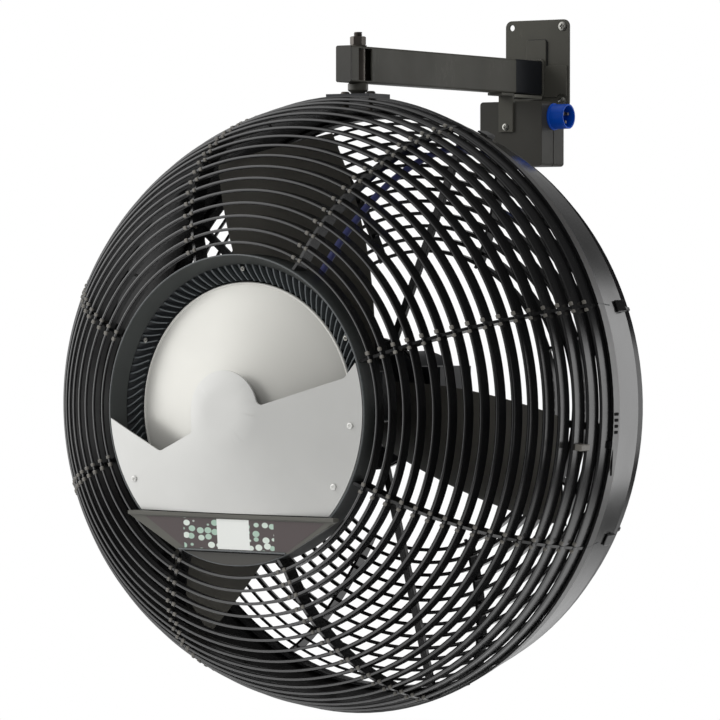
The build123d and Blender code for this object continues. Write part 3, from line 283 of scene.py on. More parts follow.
def pan_head(radius, height, recess=0.55, steps=48, rows=9):
    """Domed screw head with a cross recess: height falls with radius squared, less the two crossing slots."""
    angle = whole_turn(steps)[None, :]
    rho = radius * np.linspace(0.02, 1.0, rows)[:, None] ** 0.8
    x, y = rho * np.cos(angle), rho * np.sin(angle)
    slot = np.clip(1.5 - np.minimum(abs(x), abs(y)) / (0.13 * radius), 0, 1)
    reach = np.clip((recess * radius - rho) / (0.12 * radius), 0, 1)
    z = height * (1 - 0.55 * (rho / radius) ** 2) - height * 0.7 * slot * reach
    skirt = np.stack([x[-1], y[-1], 0 * x[-1]], -1)[None]
    return surface(np.concatenate([np.stack([x, y, z], -1), skirt]), caps=True)


def hex_nut(across, height, bore, steps=72):
    """Hexagon whose height drops by the corner's overhang times tan 30, as a nut chamfered on a lathe."""
    angle, flat = whole_turn(steps), across / 2
    edge = flat / np.cos((angle + math.pi / 6) % (math.pi / 3) - math.pi / 6)
    drop = (edge - flat) * math.tan(math.radians(30)) + 0.15
    rows = [(bore, 0.6), (bore + 0.6, 0.0), (flat * 0.97, 0.0), (edge, drop), (edge, height - drop),
            (flat * 0.97, height), (bore + 0.6, height), (bore, height - 0.6)]
    return surface(np.stack([polar(r, angle, z) for r, z in rows]), close_u=True)


def threaded(radius, low, high, thread_low, pitch=1.75, steps=24):
    """Rod, plain below; its radius dips by a triangle wave of the height less each turn's share of the pitch."""
    angle = whole_turn(steps)[None, :]
    turns = np.arange(thread_low, high - 0.9, pitch / 6)
    z = np.concatenate([[low, low + 0.8, thread_low - 0.5], turns, [high - 0.9, high]])
    wave = abs(((z[:, None] / pitch - angle / (2 * math.pi)) % 1.0) * 2 - 1)
    depth = 0.62 * pitch * wave * (z[:, None] >= thread_low)
    depth[0] = depth[-1] = 0.9
    return surface(polar(radius - depth, angle, z[:, None]), caps=True)


def bead(path, radius, ripple=3.0, steps=8):
    """Weld bead: a tube whose radius swells with the cosine of the way along its closed path."""
    ahead = np.roll(path, -1, 0) - np.roll(path, 1, 0)
    ahead /= np.linalg.norm(ahead, axis=1)[:, None]
    way = np.cumsum(np.linalg.norm(path - np.roll(path, 1, 0), axis=1))
    size = radius * (1 + 0.14 * np.cos(2 * math.pi * way / ripple))
    up = np.array([0.0, 1.0, 0.0])
    side = np.cross(ahead, up)
    angle = whole_turn(steps)
    ring = np.cos(angle)[None, :, None] * side[:, None] + np.sin(angle)[None, :, None] * up
    return surface(path[:, None] + size[:, None, None] * ring, close_u=True)


def rounded_loop(width, height, corner, per_corner=6, per_side=60):
    """Points round a rectangle with round corners, centred, as (across, up)."""
    hx, hy = width / 2 - corner, height / 2 - corner
    turn = np.radians(np.linspace(0, 90, per_corner))
    loop = [circle((sx * hx, sy * hy), corner, turn + k * math.pi / 2)
            for k, (sx, sy) in enumerate(((1, 1), (-1, 1), (-1, -1), (1, -1)))]
    share = np.linspace(0, 1, per_side, endpoint=False)[1:, None]
    sides = [here[-1] + (after[0] - here[-1]) * share for here, after in zip(loop, loop[1:] + loop[:1])]
    return np.concatenate([run for pair in zip(loop, sides) for run in pair])


def make_mesh(name, parts):
    """One mesh from several closed surfaces."""
    faces, start = [], 0
    for points, quads, tris in parts:
        faces += (quads + start).tolist() + (tris + start).tolist()
        start += len(points)
    mesh = bpy.data.meshes.new(name)
    mesh.from_pydata(np.concatenate([part[0] for part in parts]).tolist(), [], faces)
    return mesh


def tidy(mesh, flatten=False):
    """Merges doubles, then joins flat triangles where asked, or else recalculates the normals."""
    work = bmesh.new()
    work.from_mesh(mesh)
    bmesh.ops.remove_doubles(work, verts=work.verts, dist=1e-6)
    if flatten:
        bmesh.ops.dissolve_limit(work, angle_limit=math.radians(0.6), verts=work.verts, edges=work.edges)
    else:
        bmesh.ops.recalc_face_normals(work, faces=work.faces)
    work.to_mesh(mesh)
    work.free()


def face_vectors(mesh, key):
    """The center or the normal of every face, as its key says."""
    values = np.zeros(len(mesh.polygons) * 3)
    mesh.polygons.foreach_get(key, values)
    return values.reshape(-1, 3)


def add_finishes(mesh, keys, index):
    """More finishes on a mesh, with the number of each face's own."""
    for key in keys:
        mesh.materials.append(material(key))
    mesh.polygons.foreach_set("material_index", index.astype(np.int32))


def linked(name, data):
    """New object in the scene."""
    holder = bpy.data.objects.new(name, data)
    bpy.context.scene.collection.objects.link(holder)
    return holder


def place(name, mesh, body, key, stands_for, smooth, bevel=0.0):
    """Links a finished mesh as a piece that rides a body and stands for its CAD nodes."""
    mesh.polygons.foreach_set("use_smooth", np.ones(len(mesh.polygons), bool))
    mesh.set_sharp_from_angle(angle=math.radians(smooth))
    mesh.materials.clear()
    mesh.materials.append(material(key))
    piece = linked(name, mesh)
    if bevel:
        rounding = piece.modifiers.new("edges", "BEVEL")
        rounding.width, rounding.segments = bevel, 2
        rounding.limit_method, rounding.angle_limit = "ANGLE", math.radians(smooth)
        rounding.use_clamp_overlap = True
        piece.modifiers.new("normals", "WEIGHTED_NORMAL").keep_sharp = True
    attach(piece, body)
    if stands_for:
        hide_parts(*stands_for)
    return piece


def new_piece(name, parts, body, key, stands_for=(), smooth=35.0):
    mesh = make_mesh(name, parts)
    tidy(mesh)
    return place(name, mesh, body, key, stands_for, smooth)


def refined(body, unit, *rows):
    """Copies of CAD nodes with merged triangles and rounded edges; a row has the node, its finish and its bevel."""
    for node, key, bevel in rows:
        name, mesh = f"{node}_detail", NODES[node].data.copy()
        mesh.name = name
        if "custom_normal" in mesh.attributes:
            mesh.attributes.remove(mesh.attributes["custom_normal"])
        tidy(mesh, flatten=True)
        place(name, mesh, body, key, (node,), COPY_SMOOTH, bevel * unit)


# ---- shader node groups
def add(tree, kind, inputs=(), **settings):
    """One shader node, named without its prefix; inputs holds (socket, value or output socket)."""
    node = tree.nodes.new(f"ShaderNode{kind}")
    for key, value in settings.items():
        setattr(node, key, value)
    for key, value in dict(inputs).items():
        if isinstance(value, bpy.types.NodeSocket):
            tree.links.new(value, node.inputs[key])
        else:
            node.inputs[key].default_value = value
    return node


def maths(tree, operation, a, b=0.5):
    return add(tree, "Math", {0: a, 1: b}, operation=operation).outputs[0]


def product(tree, *factors):
    """Factors multiplied from left to right."""
    return functools.reduce(lambda a, b: maths(tree, "MULTIPLY", a, b), factors)


def apart(tree, value, middle):
    """How far a value is from a middle."""
    return maths(tree, "ABSOLUTE", maths(tree, "SUBTRACT", value, middle))


def scaled(tree, vector, factors):
    """Vector multiplied axis by axis."""
    return add(tree, "VectorMath", {0: vector, 1: factors}, operation="MULTIPLY").outputs[0]


def length_of(tree, vector):
    return add(tree, "VectorMath", {0: vector}, operation="LENGTH").outputs["Value"]


def ramp(tree, value, low, high, to_low=0.0, to_high=1.0):
    """Smooth step from one value to another."""
    return add(tree, "MapRange", {"Value": value, "From Min": low, "From Max": high, "To Min": to_low,
                                            "To Max": to_high}, interpolation_type="SMOOTHSTEP").outputs[0]


def noise(tree, vector, scale, detail=3.0, rough=0.55):
    return add(tree, "TexNoise", {"Vector": vector, "Scale": scale, "Detail": detail,
                                            "Roughness": rough}).outputs[0]


def blended(tree, mask, first, second):
    """Colour mixed from two by a mask; sockets 6 and 7 of the mix node are its colours."""
    return add(tree, "Mix", {0: mask, 6: first, 7: second}, data_type="RGBA").outputs[2]


def mixed(tree, factor, first, second):
    """Shader mixed from two."""
    return add(tree, "MixShader", {0: factor, 1: first, 2: second}).outputs[0]


def cleared(owner):
    """Empty node tree of a material or world."""
    owner.use_nodes = True
    owner.node_tree.nodes.clear()
    return owner.node_tree


def centred_on(tree, middle):
    """Object coordinates, measured from a point."""
    return add(tree, "Mapping", {"Vector": add(tree, "TexCoord").outputs["Object"],
                                 "Location": tuple(-np.array(middle))}).outputs[0]


def rays(tree):
    """Whether the camera sees a point, and whether gloss or glass does."""
    path = add(tree, "LightPath").outputs
    return path["Is Camera Ray"], maths(tree, "MAXIMUM", path["Is Glossy Ray"], path["Is Transmission Ray"])


def tone(tree, vector, colour, second, scale):
    """Two colours blended in soft patches."""
    return blended(tree, ramp(tree, noise(tree, vector, scale), 0.38, 0.62), colour, second)


def grain(tree, vector, scale):
    """Height of a moulded or sprayed skin: fine noise over a broader orange peel."""
    broad = noise(tree, vector, product(tree, scale, 0.12), 1.0)
    return maths(tree, "ADD", product(tree, noise(tree, vector, scale, 2.0), 0.35), broad)


def polish(tree, vector, scale, low, high):
    """Roughness between two values, in smears."""
    smear = noise(tree, vector, scale, 5.0, 0.65)
    return add(tree, "MapRange", {"Value": smear, "From Min": 0.3, "From Max": 0.7, "To Min": low,
                                  "To Max": high}).outputs[0]


def dust(tree, vector, amount):
    """Mask of settled dust: faces that look up, broken by noise."""
    up = add(tree, "SeparateXYZ", {0: add(tree, "NewGeometry").outputs["Normal"]}).outputs["Z"]
    patch = ramp(tree, noise(tree, vector, 42.0, 4.0), 0.3, 0.7, 0.35, 1.0)
    return product(tree, ramp(tree, up, 0.25, 1.0), patch, amount)


def scuffs(tree, vector, amount):
    """Mask of small rubs and scratches: thin bands where a stretched noise crosses its middle value."""
    line = apart(tree, noise(tree, scaled(tree, vector, (60.0, 60.0, 14.0)), 1.0, 6.0, 0.7), 0.5)
    patch = ramp(tree, noise(tree, vector, 11.0), 0.52, 0.66)
    return product(tree, ramp(tree, line, 0.0, 0.02, 1.0, 0.0), patch, amount)


def spun(tree, vector, density):
    """Height of a lathe's concentric marks: noise that depends only on the distance from the axis."""
    radius = length_of(tree, scaled(tree, vector, (1.0, 0.0, 1.0)))
    return noise(tree, add(tree, "CombineXYZ", {0: product(tree, radius, density)}).outputs[0], 1.0)


def rolled(tree, vector, density):
    """Height of a rolled sheet's fine parallel lines: noise stretched along the sheet's width."""
    return noise(tree, scaled(tree, vector, (0.03, 0.3, 1.0)), density)


def pebbles(tree, vector, panel):
    """Plain print of a label: pebbles of three pale tints, from a Voronoi pattern, round a blank white tile."""
    flat = scaled(tree, vector, (1.0, 0.0, 1.35))
    cells = add(tree, "TexVoronoi", {"Vector": flat, "Scale": 78.0, "Randomness": 0.55}).outputs
    pebble = ramp(tree, cells["Distance"], 0.40, 0.46, 1.0, 0.0)
    tint = add(tree, "SeparateColor", {0: cells["Color"]}).outputs
    mint = blended(tree, ramp(tree, tint[0], 0.2, 0.8), (*srgb("a9c3b3"), 1), (*srgb("dfe8df"), 1))
    some = blended(tree, ramp(tree, tint[1], 0.86, 0.88), mint, (*srgb("dca7ac"), 1))
    x = add(tree, "SeparateXYZ", {0: vector}).outputs["X"]
    tile = ramp(tree, apart(tree, x, 0.004), 0.0255, 0.0262, 1.0, 0.0)
    middle = ramp(tree, apart(tree, x, -0.0035), 0.0722, 0.0728, 1.0, 0.0)
    printed = blended(tree, product(tree, pebble, middle), panel, some)
    return blended(tree, tile, printed, (*srgb("eceeea"), 1))


EFFECTS = {"tone": ("Surface Tone", tone, "Colour", {"Colour": WHITE, "Second Colour": WHITE, "Scale": 9.0}),
           "grain": ("Skin Grain", grain, "Height", {"Scale": 900.0}),
           "polish": ("Polish", polish, "Roughness", {"Scale": 14.0, "Low": 0.2, "High": 0.4}),
           "dust": ("Settled Dust", dust, "Mask", {"Amount": 0.2}),
           "scuffs": ("Scuffs", scuffs, "Mask", {"Amount": 0.2}),
           "spun": ("Spun Lines", spun, "Height", {"Density": 900.0}),
           "rolled": ("Rolled Lines", rolled, "Height", {"Density": 900.0}),
           "print": ("Pebble Print", pebbles, "Colour", {"Panel": WHITE})}


@functools.cache
def shared_group(key):
    """Node group with named sockets: a vector, the inputs with their usual values, and one output."""
    name, build, output, inputs = EFFECTS[key]
    tree = bpy.data.node_groups.new(name, "ShaderNodeTree")
    tree.interface.new_socket("Vector", in_out="INPUT", socket_type="NodeSocketVector")
    for label, usual in inputs.items():
        kind = "NodeSocketColor" if isinstance(usual, tuple) else "NodeSocketFloat"
        tree.interface.new_socket(label, in_out="INPUT", socket_type=kind).default_value = usual
    kind = "NodeSocketColor" if output == "Colour" else "NodeSocketFloat"
    tree.interface.new_socket(output, in_out="OUTPUT", socket_type=kind)
    given = tree.nodes.new("NodeGroupInput").outputs
    result = build(tree, *(given[label] for label in ("Vector", *inputs)))
    tree.links.new(result, tree.nodes.new("NodeGroupOutput").inputs[0])
    return tree


def effect(tree, key, **inputs):
    """Places a shared node group in a material with its own values."""
    named = {name.replace("_", " ").title(): value for name, value in inputs.items()}
    return add(tree, "Group", named, node_tree=shared_group(key)).outputs[0]


# ---- finishes
def finish(slot, colour, low, high, **changes):
    """Settings of a finish: slot, colour (of FanColours, or a code), roughness range, and changes to a plain skin."""
    plain = dict(shift=0.8, metallic=0.0, grain=900.0, bump=0.05, ior=1.5, scuffs=0.0, under="808080", dust=0.0)
    return plain | dict(slot=slot, colour=colour, low=low, high=high) | changes


FINISHES = {
    "guard_gloss": finish("guard_black", "guard", 0.14, 0.22, shift=0.7, grain=700.0, bump=0.03, dust=0.02, ior=1.55),
    # Painted shade and sheen: the same guard plastic, duller on faces that look at the axis and more reflective on the
    # lips and the last louvres.
    "guard_inner": finish("guard_black", "guard", 0.4, 0.5, shift=0.7, grain=700.0, bump=0.03, ior=1.25),
    "guard_outer": finish("guard_black", "guard", 0.18, 0.26, shift=0.7, grain=700.0, bump=0.03, dust=0.02, ior=1.9),
    "rim_gloss": finish("rim_black", "rim", 0.14, 0.22, shift=0.75, grain=500.0, bump=0.03, dust=0.02, ior=1.58),
    # Painted highlight: a lighter copy of the guard plastic for the clips, standing for the light they catch.
    "clip_grey": finish("guard_black", "tabs", 0.24, 0.32, bump=0.04),
    "fin_satin": finish("vane_black", "fins", 0.38, 0.5, shift=0.85, grain=1400.0, bump=0.04),
    # Painted shade: near-black underside, so that the disc's reflection of it shows as shade.
    "underside": finish("shield_silver", "inner", 0.5, 0.6, shift=0.85, grain=1200.0, bump=0.04),
    "saddle_black": finish("arm_paint", "motor", 0.36, 0.48, grain=600.0, bump=0.06),
    "pin_nickel": finish("pin_brass", "stud", 0.3, 0.42, metallic=0.6, lines="rolled", density=1500.0, bump=0.04),
    "blade_satin": finish("guard_black", "blades", 0.42, 0.52, shift=0.85, grain=800.0, bump=0.04, dust=0.03, ior=1.4),
    # Painted reflection: the guard's flange is coloured lighter than the black plastic to stand for the sheen along it.
    "flange_dull": finish("guard_black", "434241", 0.3, 0.38, grain=700.0, bump=0.03),
    "bezel_satin": finish("bezel_grey", "bezel", 0.4, 0.5, shift=0.85, grain=1400.0, ior=1.4),
    "vane_satin": finish("vane_black", "vanes", 0.38, 0.5, grain=1400.0),
    "latch_dark": finish("vane_black", "0e0e0f", 0.6, 0.7, grain=1400.0, ior=1.2),
    # Glossy, and lighter than the bezel as a painted highlight along the rolled lips.
    "lip_polished": finish("bezel_grey", "lips", 0.24, 0.3, shift=0.95, grain=1400.0, bump=0.02),
    "tray_satin": finish("arm_paint", "tray", 0.36, 0.46, shift=0.92),
    "chin_satin": finish("arm_paint", "454440", 0.36, 0.46, shift=0.92),
    "label_print": finish("arm_paint", "panel", 0.3, 0.38, shift=0.95, grain=1500.0, bump=0.02, print=True),
    "disc_spun": finish("shield_silver", "disc", 0.31, 0.37, shift=0.97, metallic=0.52, lines="spun", density=90.0,
        bump=0.004),
    "shield_satin": finish("shield_silver", "silver", 0.34, 0.42, shift=0.97, metallic=0.6, lines="rolled",
        density=120.0, bump=0.006),
    "stud_dark": finish("zinc_steel", "stud", 0.34, 0.5, shift=0.7, metallic=0.85, bump=0.08, scuffs=0.3,
        under="8d867e"),
    "arm_satin": finish("arm_paint", "arm", 0.36, 0.5, shift=0.86, grain=520.0, bump=0.1, dust=0.05, scuffs=0.2,
        under="7c7a74", ior=1.3),
    "cap_moulded": finish("cap_plastic", "box", 0.35, 0.5, shift=0.85, grain=1200.0, bump=0.08),
    # Painted highlight: the hanger is lighter than the arm paint to stand for the light it catches.
    "hanger_light": finish("arm_paint", "6f6e67", 0.36, 0.5, shift=0.9, grain=520.0, bump=0.1, ior=1.3),
    "knuckle_dark": finish("arm_paint", "motor", 0.4, 0.52, grain=520.0, bump=0.1, scuffs=0.2, under="5f6061", ior=1.3),
    "box_satin": finish("box_plastic", "box", 0.36, 0.5, shift=0.88, grain=600.0, bump=0.08, dust=0.04, scuffs=0.12,
        under="6b6b6b", ior=1.3),
    "seal_rubber": finish("rubber", "guard", 0.6, 0.75, grain=1500.0, bump=0.1),
    "zinc": finish("zinc_steel", "steel", 0.28, 0.42, metallic=1.0, lines="rolled", density=1500.0, scuffs=0.2,
        under="6d6a62"),
    "screw_plated": finish("zinc_steel", "e6e6e2", 0.3, 0.38, shift=0.95, metallic=0.15, bump=0.02),
    "collar_turned": finish("collar_steel", "arm", 0.3, 0.42, metallic=0.2, grain=700.0, bump=0.06),
    "board": finish("board_green", "1f5a33", 0.35, 0.5),
    "inlet_moulded": finish("inlet_blue", "inlet", 0.36, 0.48, grain=1100.0, bump=0.06, ior=1.35),
    "motor_cast": finish("motor_grey", "motor", 0.38, 0.55, grain=420.0, bump=0.2, dust=0.05),
    "core_ground": finish("core_steel", "steel", 0.3, 0.45, shift=0.75, metallic=1.0, lines="rolled", density=1200.0),
    "hose_moulded": finish("hose_blue", "hose", 0.3, 0.42),
}
DUST_CODE, BUMP_HEIGHT = "8d8a83", 0.0006


@functools.cache
def material(key):
    """Material of one finish: shared effects feed colour, roughness and bump of its own shader."""
    f = FINISHES[key]
    base = tuple(getattr(bpy.context.scene.fan_colours, f["colour"], ())) or srgb(f["colour"])
    second = tuple(c * f["shift"] for c in base)
    result = bpy.data.materials.new(key)
    tree = cleared(result)
    centred = centred_on(tree, AXIS)
    skin = effect(tree, "tone", vector=centred, colour=(*base, 1), second_colour=(*second, 1), scale=8.0)
    if "print" in f:
        skin = effect(tree, "print", vector=centred, panel=skin)
    for layer, code in (("scuffs", f["under"]), ("dust", DUST_CODE)):
        if f[layer]:
            mask = effect(tree, layer, vector=centred, amount=f[layer])
            skin = blended(tree, mask, skin, (*srgb(code), 1))
    rough = effect(tree, "polish", vector=centred, low=f["low"], high=f["high"], scale=14.0)
    if "lines" in f:
        height = effect(tree, f["lines"], vector=centred, density=f["density"])
    else:
        height = effect(tree, "grain", vector=centred, scale=f["grain"])
    bump = add(tree, "Bump", {"Height": height, "Strength": f["bump"], "Distance": BUMP_HEIGHT})
    shader = add(tree, "BsdfPrincipled", {"Metallic": f["metallic"], "IOR": f["ior"], "Base Color": skin,
                                          "Roughness": rough, "Normal": bump.outputs[0]})
    add(tree, "OutputMaterial", {0: shader.outputs[0]})
    return result


# ---- pieces
def stations(start, span, power, ways):
    """(radius, z) at given ways along a quarter of a superellipse: its centre is start, and span its half axes."""
    angle = np.linspace(0, math.pi / 2, 1501)
    radius = start[0] + span[0] * np.sin(angle) ** (2 / power)
    z = start[1] + span[1] * np.cos(angle) ** (2 / power)
    index = np.searchsorted(np.cumsum(np.hypot(np.diff(radius), np.diff(z))), ways) + 1
    return np.column_stack([radius[index], z[index]])


def louvre_profile(width, depth):
    """Section of a louvre: a half ellipse for its front lip, a straight outer face, and walls that thin backwards."""
    half, lip = width / 2, np.radians(np.linspace(0, 180, 7))
    nose = np.column_stack([half * np.cos(lip) - half, 1.3 * np.sin(lip) - 1.3])
    return np.concatenate([[(0, -depth), (0, 0.8 - depth), (0, -3.4)], nose, [(-0.88 * width, -3.4), (-1.3, -depth)]])


class PieceOperator:
    """What the operators share: build with the scene's sizes, then say that it is finished."""
    bl_options = {"REGISTER", "UNDO"}

    def execute(self, context):
        self.build(context.scene.fan_sizes)
        return {"FINISHED"}


class FAN_OT_guard(PieceOperator, bpy.types.Operator):
    """Front guard: eight dome segments of louvre rings on joint ribs"""
    bl_idname = "wallfan.guard"
    bl_label = "Front guard"

    def build(self, sizes):
        growth = (PITCH_LAST - PITCH_FIRST) * np.arange(1, RING_COUNT) / RING_COUNT
        ways = PITCH_FIRST + np.cumsum(np.append(0, PITCH_FIRST + growth))
        rings = stations((NOSE_R, DOME_BASE), (DOME_R, DOME_RISE), DOME_POWER, ways)
        width, depth, rib = sizes.ring_width / MM, sizes.ring_depth / MM, sizes.rib_depth / MM
        depths = depth + sizes.ring_growth / MM * np.linspace(0.0, 1.0, RING_COUNT) ** 1.5
        nose = np.array([(NOSE_R + 0.3, NOSE_FRONT)])
        outer = np.concatenate([nose - (0, 4), rings - (0, RIB_SET_BACK), [(RIM_INNER_R, RIM_DEPTH - 2)]])
        inner = np.concatenate([nose - (0, rib), rings - (width, rib), [(RIM_INNER_R - 16, RIM_DEPTH - 14)]])
        base = [strip(outer, inner, -RIB_T, 0.0)]
        base += [lathe(louvre_profile(width, d) + ring, 0.05, 360.0 / SEGMENTS - 0.1, 30)
                 for ring, d in zip(rings, depths)]
        for k, angle in enumerate(SEGMENT_ANGLES, 1):
            piece = new_piece(f"guard_segment_{k}", around(base, [angle]), HEAD, "guard_gloss",
                              (f"front_guard_segment_{k}",), 40.0)
            self.face_finishes(piece.data)
        self.clips(rings, width)
        self.rib_screws(rings)
        self.latch()

    def face_finishes(self, mesh):
        """Painted shade and sheen: duller plastic on faces that look at the axis; more reflective plastic on the lips
        and outside the last louvres.
        """
        normal = face_vectors(mesh, "normal")
        outward = (face_vectors(mesh, "center") - AXIS) * (1.0, 0.0, 1.0)
        radius = np.linalg.norm(outward, axis=1)
        facing = (normal * outward).sum(1) / radius
        bright = (normal[:, 1] < -0.5) | (facing > 0.5) & (radius > SHEEN_FROM_R * MM)
        add_finishes(mesh, ("guard_inner", "guard_outer"), np.where(bright, 2, facing < -0.5))

    def clips(self, rings, width):
        """Two small clips on every louvre at each joint, and a larger one beside the latch."""
        pair = [pad((r - width / 2, y, z - 0.4), (width / 2 + 0.5, half, 2.0), 0.7)
                for r, z in rings for y, half in CLIP_PAIR]
        # Painted highlight: the clips are coloured lighter than the guard to stand for the light they catch.
        new_piece("guard_clips", around(pair, SEGMENT_ANGLES) + around([pad(*LARGE_CLIP)], [LARGE_CLIP_ANGLE]),
                  HEAD, "clip_grey")

    def rib_screws(self, rings):
        """Two screws through every joint rib, their heads on the rib's lower face."""
        head = forwards(pan_head(*RIB_HEAD, steps=24, rows=6), -RIB_T)
        heads = [moved(head, lambda p: p + (r - 2.0, 0.0, z - 12.0)) for r, z in rings[list(SCREWED_RINGS)]]
        new_piece("rib_screws", around(heads, SEGMENT_ANGLES), HEAD, "stud_dark")

    def latch(self):
        """Latch at the right of the rim: four bars on its edge, and a hooked end with its wire."""
        new_piece("guard_latch", around([pad(*block) for block in LATCH_BLOCKS], [LATCH_ANGLE]), HEAD, "latch_dark")


class FAN_OT_nose(PieceOperator, bpy.types.Operator):
    """Nose: bezel, atomiser vanes, spinning disc, shield and drip tray"""
    bl_idname = "wallfan.nose"
    bl_label = "Nose and water disc"

    def build(self, sizes):
        self.vanes(sizes.vane_thickness / MM)
        self.disc()
        refined(HEAD, sizes.edge_bevel, ("nose_bezel", "bezel_satin", 1.0), ("nose_housing", "bezel_satin", 1.0),
                ("front_shield", "shield_satin", 0.7), ("drip_tray", "tray_satin", 1.0),
                ("valve_box", "vane_satin", 1.0), ("shield_posts", "vane_satin", 0.0))
        shield = bpy.data.objects["front_shield_detail"].data
        # Painted shade: faces that look back get the near-black underside finish.
        add_finishes(shield, ("underside",), face_vectors(shield, "normal")[:, 1] > 0.2)
        self.bezel_lip()
        self.screws()
        self.label()
        self.chin()

    def bezel_lip(self):
        """Rolled lip of the bezel: a thin round ring at its outer edge."""
        section = circle((NOSE_R - 1.0, NOSE_FRONT + 0.2), BEZEL_LIP_R, OCTAGON)
        # Painted highlight in part: the lip's lighter colour adds to its glossy bright line.
        new_piece("bezel_lips", [moved(lathe(section[::-1], steps=180))], HEAD, "lip_polished")

    def screws(self):
        """Shield screws with thin shanks, the shield's centre pip, and small screws of the vane ring."""
        head_z = CAP_BASE_Z - (CAP_BASE_Z - SHIELD_EDGE_Z) * (SHIELD_SCREW_R - 4 - CAP_R) / (NOSE_R - CAP_R) + 0.3
        top = head_z + 0.5
        shank = lathe([(0.02, SHANK_FOOT_Z), (SHANK_R, SHANK_FOOT_Z), (SHANK_R, top), (0.02, top)], steps=16)
        head = moved(pan_head(*SHIELD_HEAD, steps=32), lambda p: p + (0, 0, head_z))
        parts = [moved(part, lambda p: p + (SHIELD_SCREW_R, 0, 0)) for part in (head, shank)]
        new_piece("shield_screw_set", around(parts, SHIELD_SCREW_ANGLES), HEAD, "screw_plated", ("shield_screws",))
        pip = moved(pan_head(*PIP, steps=24, rows=6), lambda p: to_row(p + (0, 0, CAP_BASE_Z - 0.1)))
        new_piece("shield_pip", [pip], HEAD, "shield_satin")
        small = moved(pan_head(*RING_HEAD, steps=24, rows=6), lambda p: p + (RING_SCREW_R, 0, VANE_TOP - 0.4))
        new_piece("ring_screws", around([small], RING_SCREW_ANGLES), HEAD, "zinc")

    def label(self):
        """Printed sheet, a trapezium on the tray's sloping front, and the tray's rolled lower lip."""
        corners, share = np.array(LABEL_CORNERS), np.linspace(0, 1, 12, endpoint=False)[:, None]
        x, y = np.concatenate([a + (b - a) * share for a, b in zip(corners, np.roll(corners, -1, 0))]).T
        z = TRAY_FOOT_Z + (TRAY_TOP_Z - TRAY_FOOT_Z) * (y - TRAY_FOOT_Y) / (TRAY_TOP_Y - TRAY_FOOT_Y)
        rows = [np.column_stack([x, y, z + lift]) for lift in (0.0, 0.35)]
        new_piece("tray_label", [moved(surface(np.stack(rows), caps=True))], HEAD, "label_print")
        section = circle((TRAY_FOOT_Y + 0.4, TRAY_FOOT_Z + 0.6), TRAY_LIP_R, OCTAGON)
        ends = [np.column_stack([0 * OCTAGON + x, section]) for x in (-TRAY_LIP_HALF, TRAY_LIP_HALF)]
        # Painted highlight in part: the tray's lip takes the same lighter, glossy finish.
        new_piece("tray_lip", [moved(surface(np.stack(ends), caps=True))], HEAD, "lip_polished")

    def chin(self):
        """Crescent of the tray's chin below its lip: the band between a straight line and the bezel's circle."""
        x = np.linspace(-CHIN_HALF, CHIN_HALF, 32)
        arc = -np.sqrt((NOSE_R - 1.8) ** 2 - x ** 2)
        z = NOSE_FRONT + 0.4
        line = 0 * x + CHIN_TOP_Y
        rows = [(line, z + 1.2), (arc, z + 1.2), (arc, z), (line, z)]
        grid = np.stack([np.column_stack([x, y, 0 * x + level]) for y, level in rows], 1)
        new_piece("tray_chin", [moved(surface(grid, caps=True))], HEAD, "chin_satin")

    def vanes(self, thickness):
        """Cone floor of the vane ring, and vanes: thin walls whose angle grows with the 1.6th power of the way in."""
        share = np.linspace(0, 1, 9)
        r = VANE_R_OUT - 6 + (VANE_R_IN + 0.5 - VANE_R_OUT + 6) * share
        angle = np.radians(-VANE_RAKE * share ** 1.6)
        half = thickness / 2 * (1 - 0.3 * share)
        x, y = r * np.cos(angle), r * np.sin(angle)
        top, foot = VANE_TOP - 1.2 * share ** 4, VANE_FLOOR + 1 + 0 * r
        corners = ((y + half, foot), (y + half, top), (y - half, top), (y - half, foot))
        vane = surface(np.stack([np.column_stack([x, across, z]) for across, z in corners], 1), caps=True)
        floor = lathe([(VANE_R_IN, VANE_FLOOR), (VANE_R_OUT, VANE_FLOOR), (VANE_R_OUT, VANE_TOP - 1.5),
                       (VANE_R_OUT - 7.5, VANE_TOP - 1.5), (VANE_R_OUT - 14, VANE_FLOOR + 9),
                       (VANE_R_IN, VANE_FLOOR + 2)], steps=180)
        new_piece("vane_ring", [moved(floor)], HEAD, "vane_satin", ("atomiser_ring",))
        new_piece("vane_fins", around([vane], 360.0 * np.arange(VANES) / VANES), HEAD, "fin_satin", ("atomiser_ring",))

    def disc(self):
        """Spun cone with a faint crown and an edge rolled over a wire."""
        share = np.linspace(0, 1, 14)
        r = DISC_TOP_R + (DISC_R - 4.0 - DISC_TOP_R) * share
        z = DISC_TOP_Z - (DISC_TOP_Z - DISC_EDGE_Z - 4.0) * share + 1.2 * np.sin(math.pi * share)
        turn = np.radians(np.linspace(140, -100, 9))
        edge = circle((DISC_R - DISC_WIRE_R, DISC_EDGE_Z + DISC_WIRE_R), DISC_WIRE_R, turn)
        upper = np.concatenate([[(DISC_BORE_R, DISC_TOP_Z)], np.column_stack([r, z])[:-1], edge])
        lower = np.column_stack([r, z - 1.5])[::-1][1:]
        profile = np.concatenate([upper, lower, [(DISC_BORE_R, DISC_TOP_Z - 2.0)]])
        new_piece("spun_disc", [moved(lathe(profile, steps=180))], ROTOR, "disc_spun", ("atomiser_disc",))


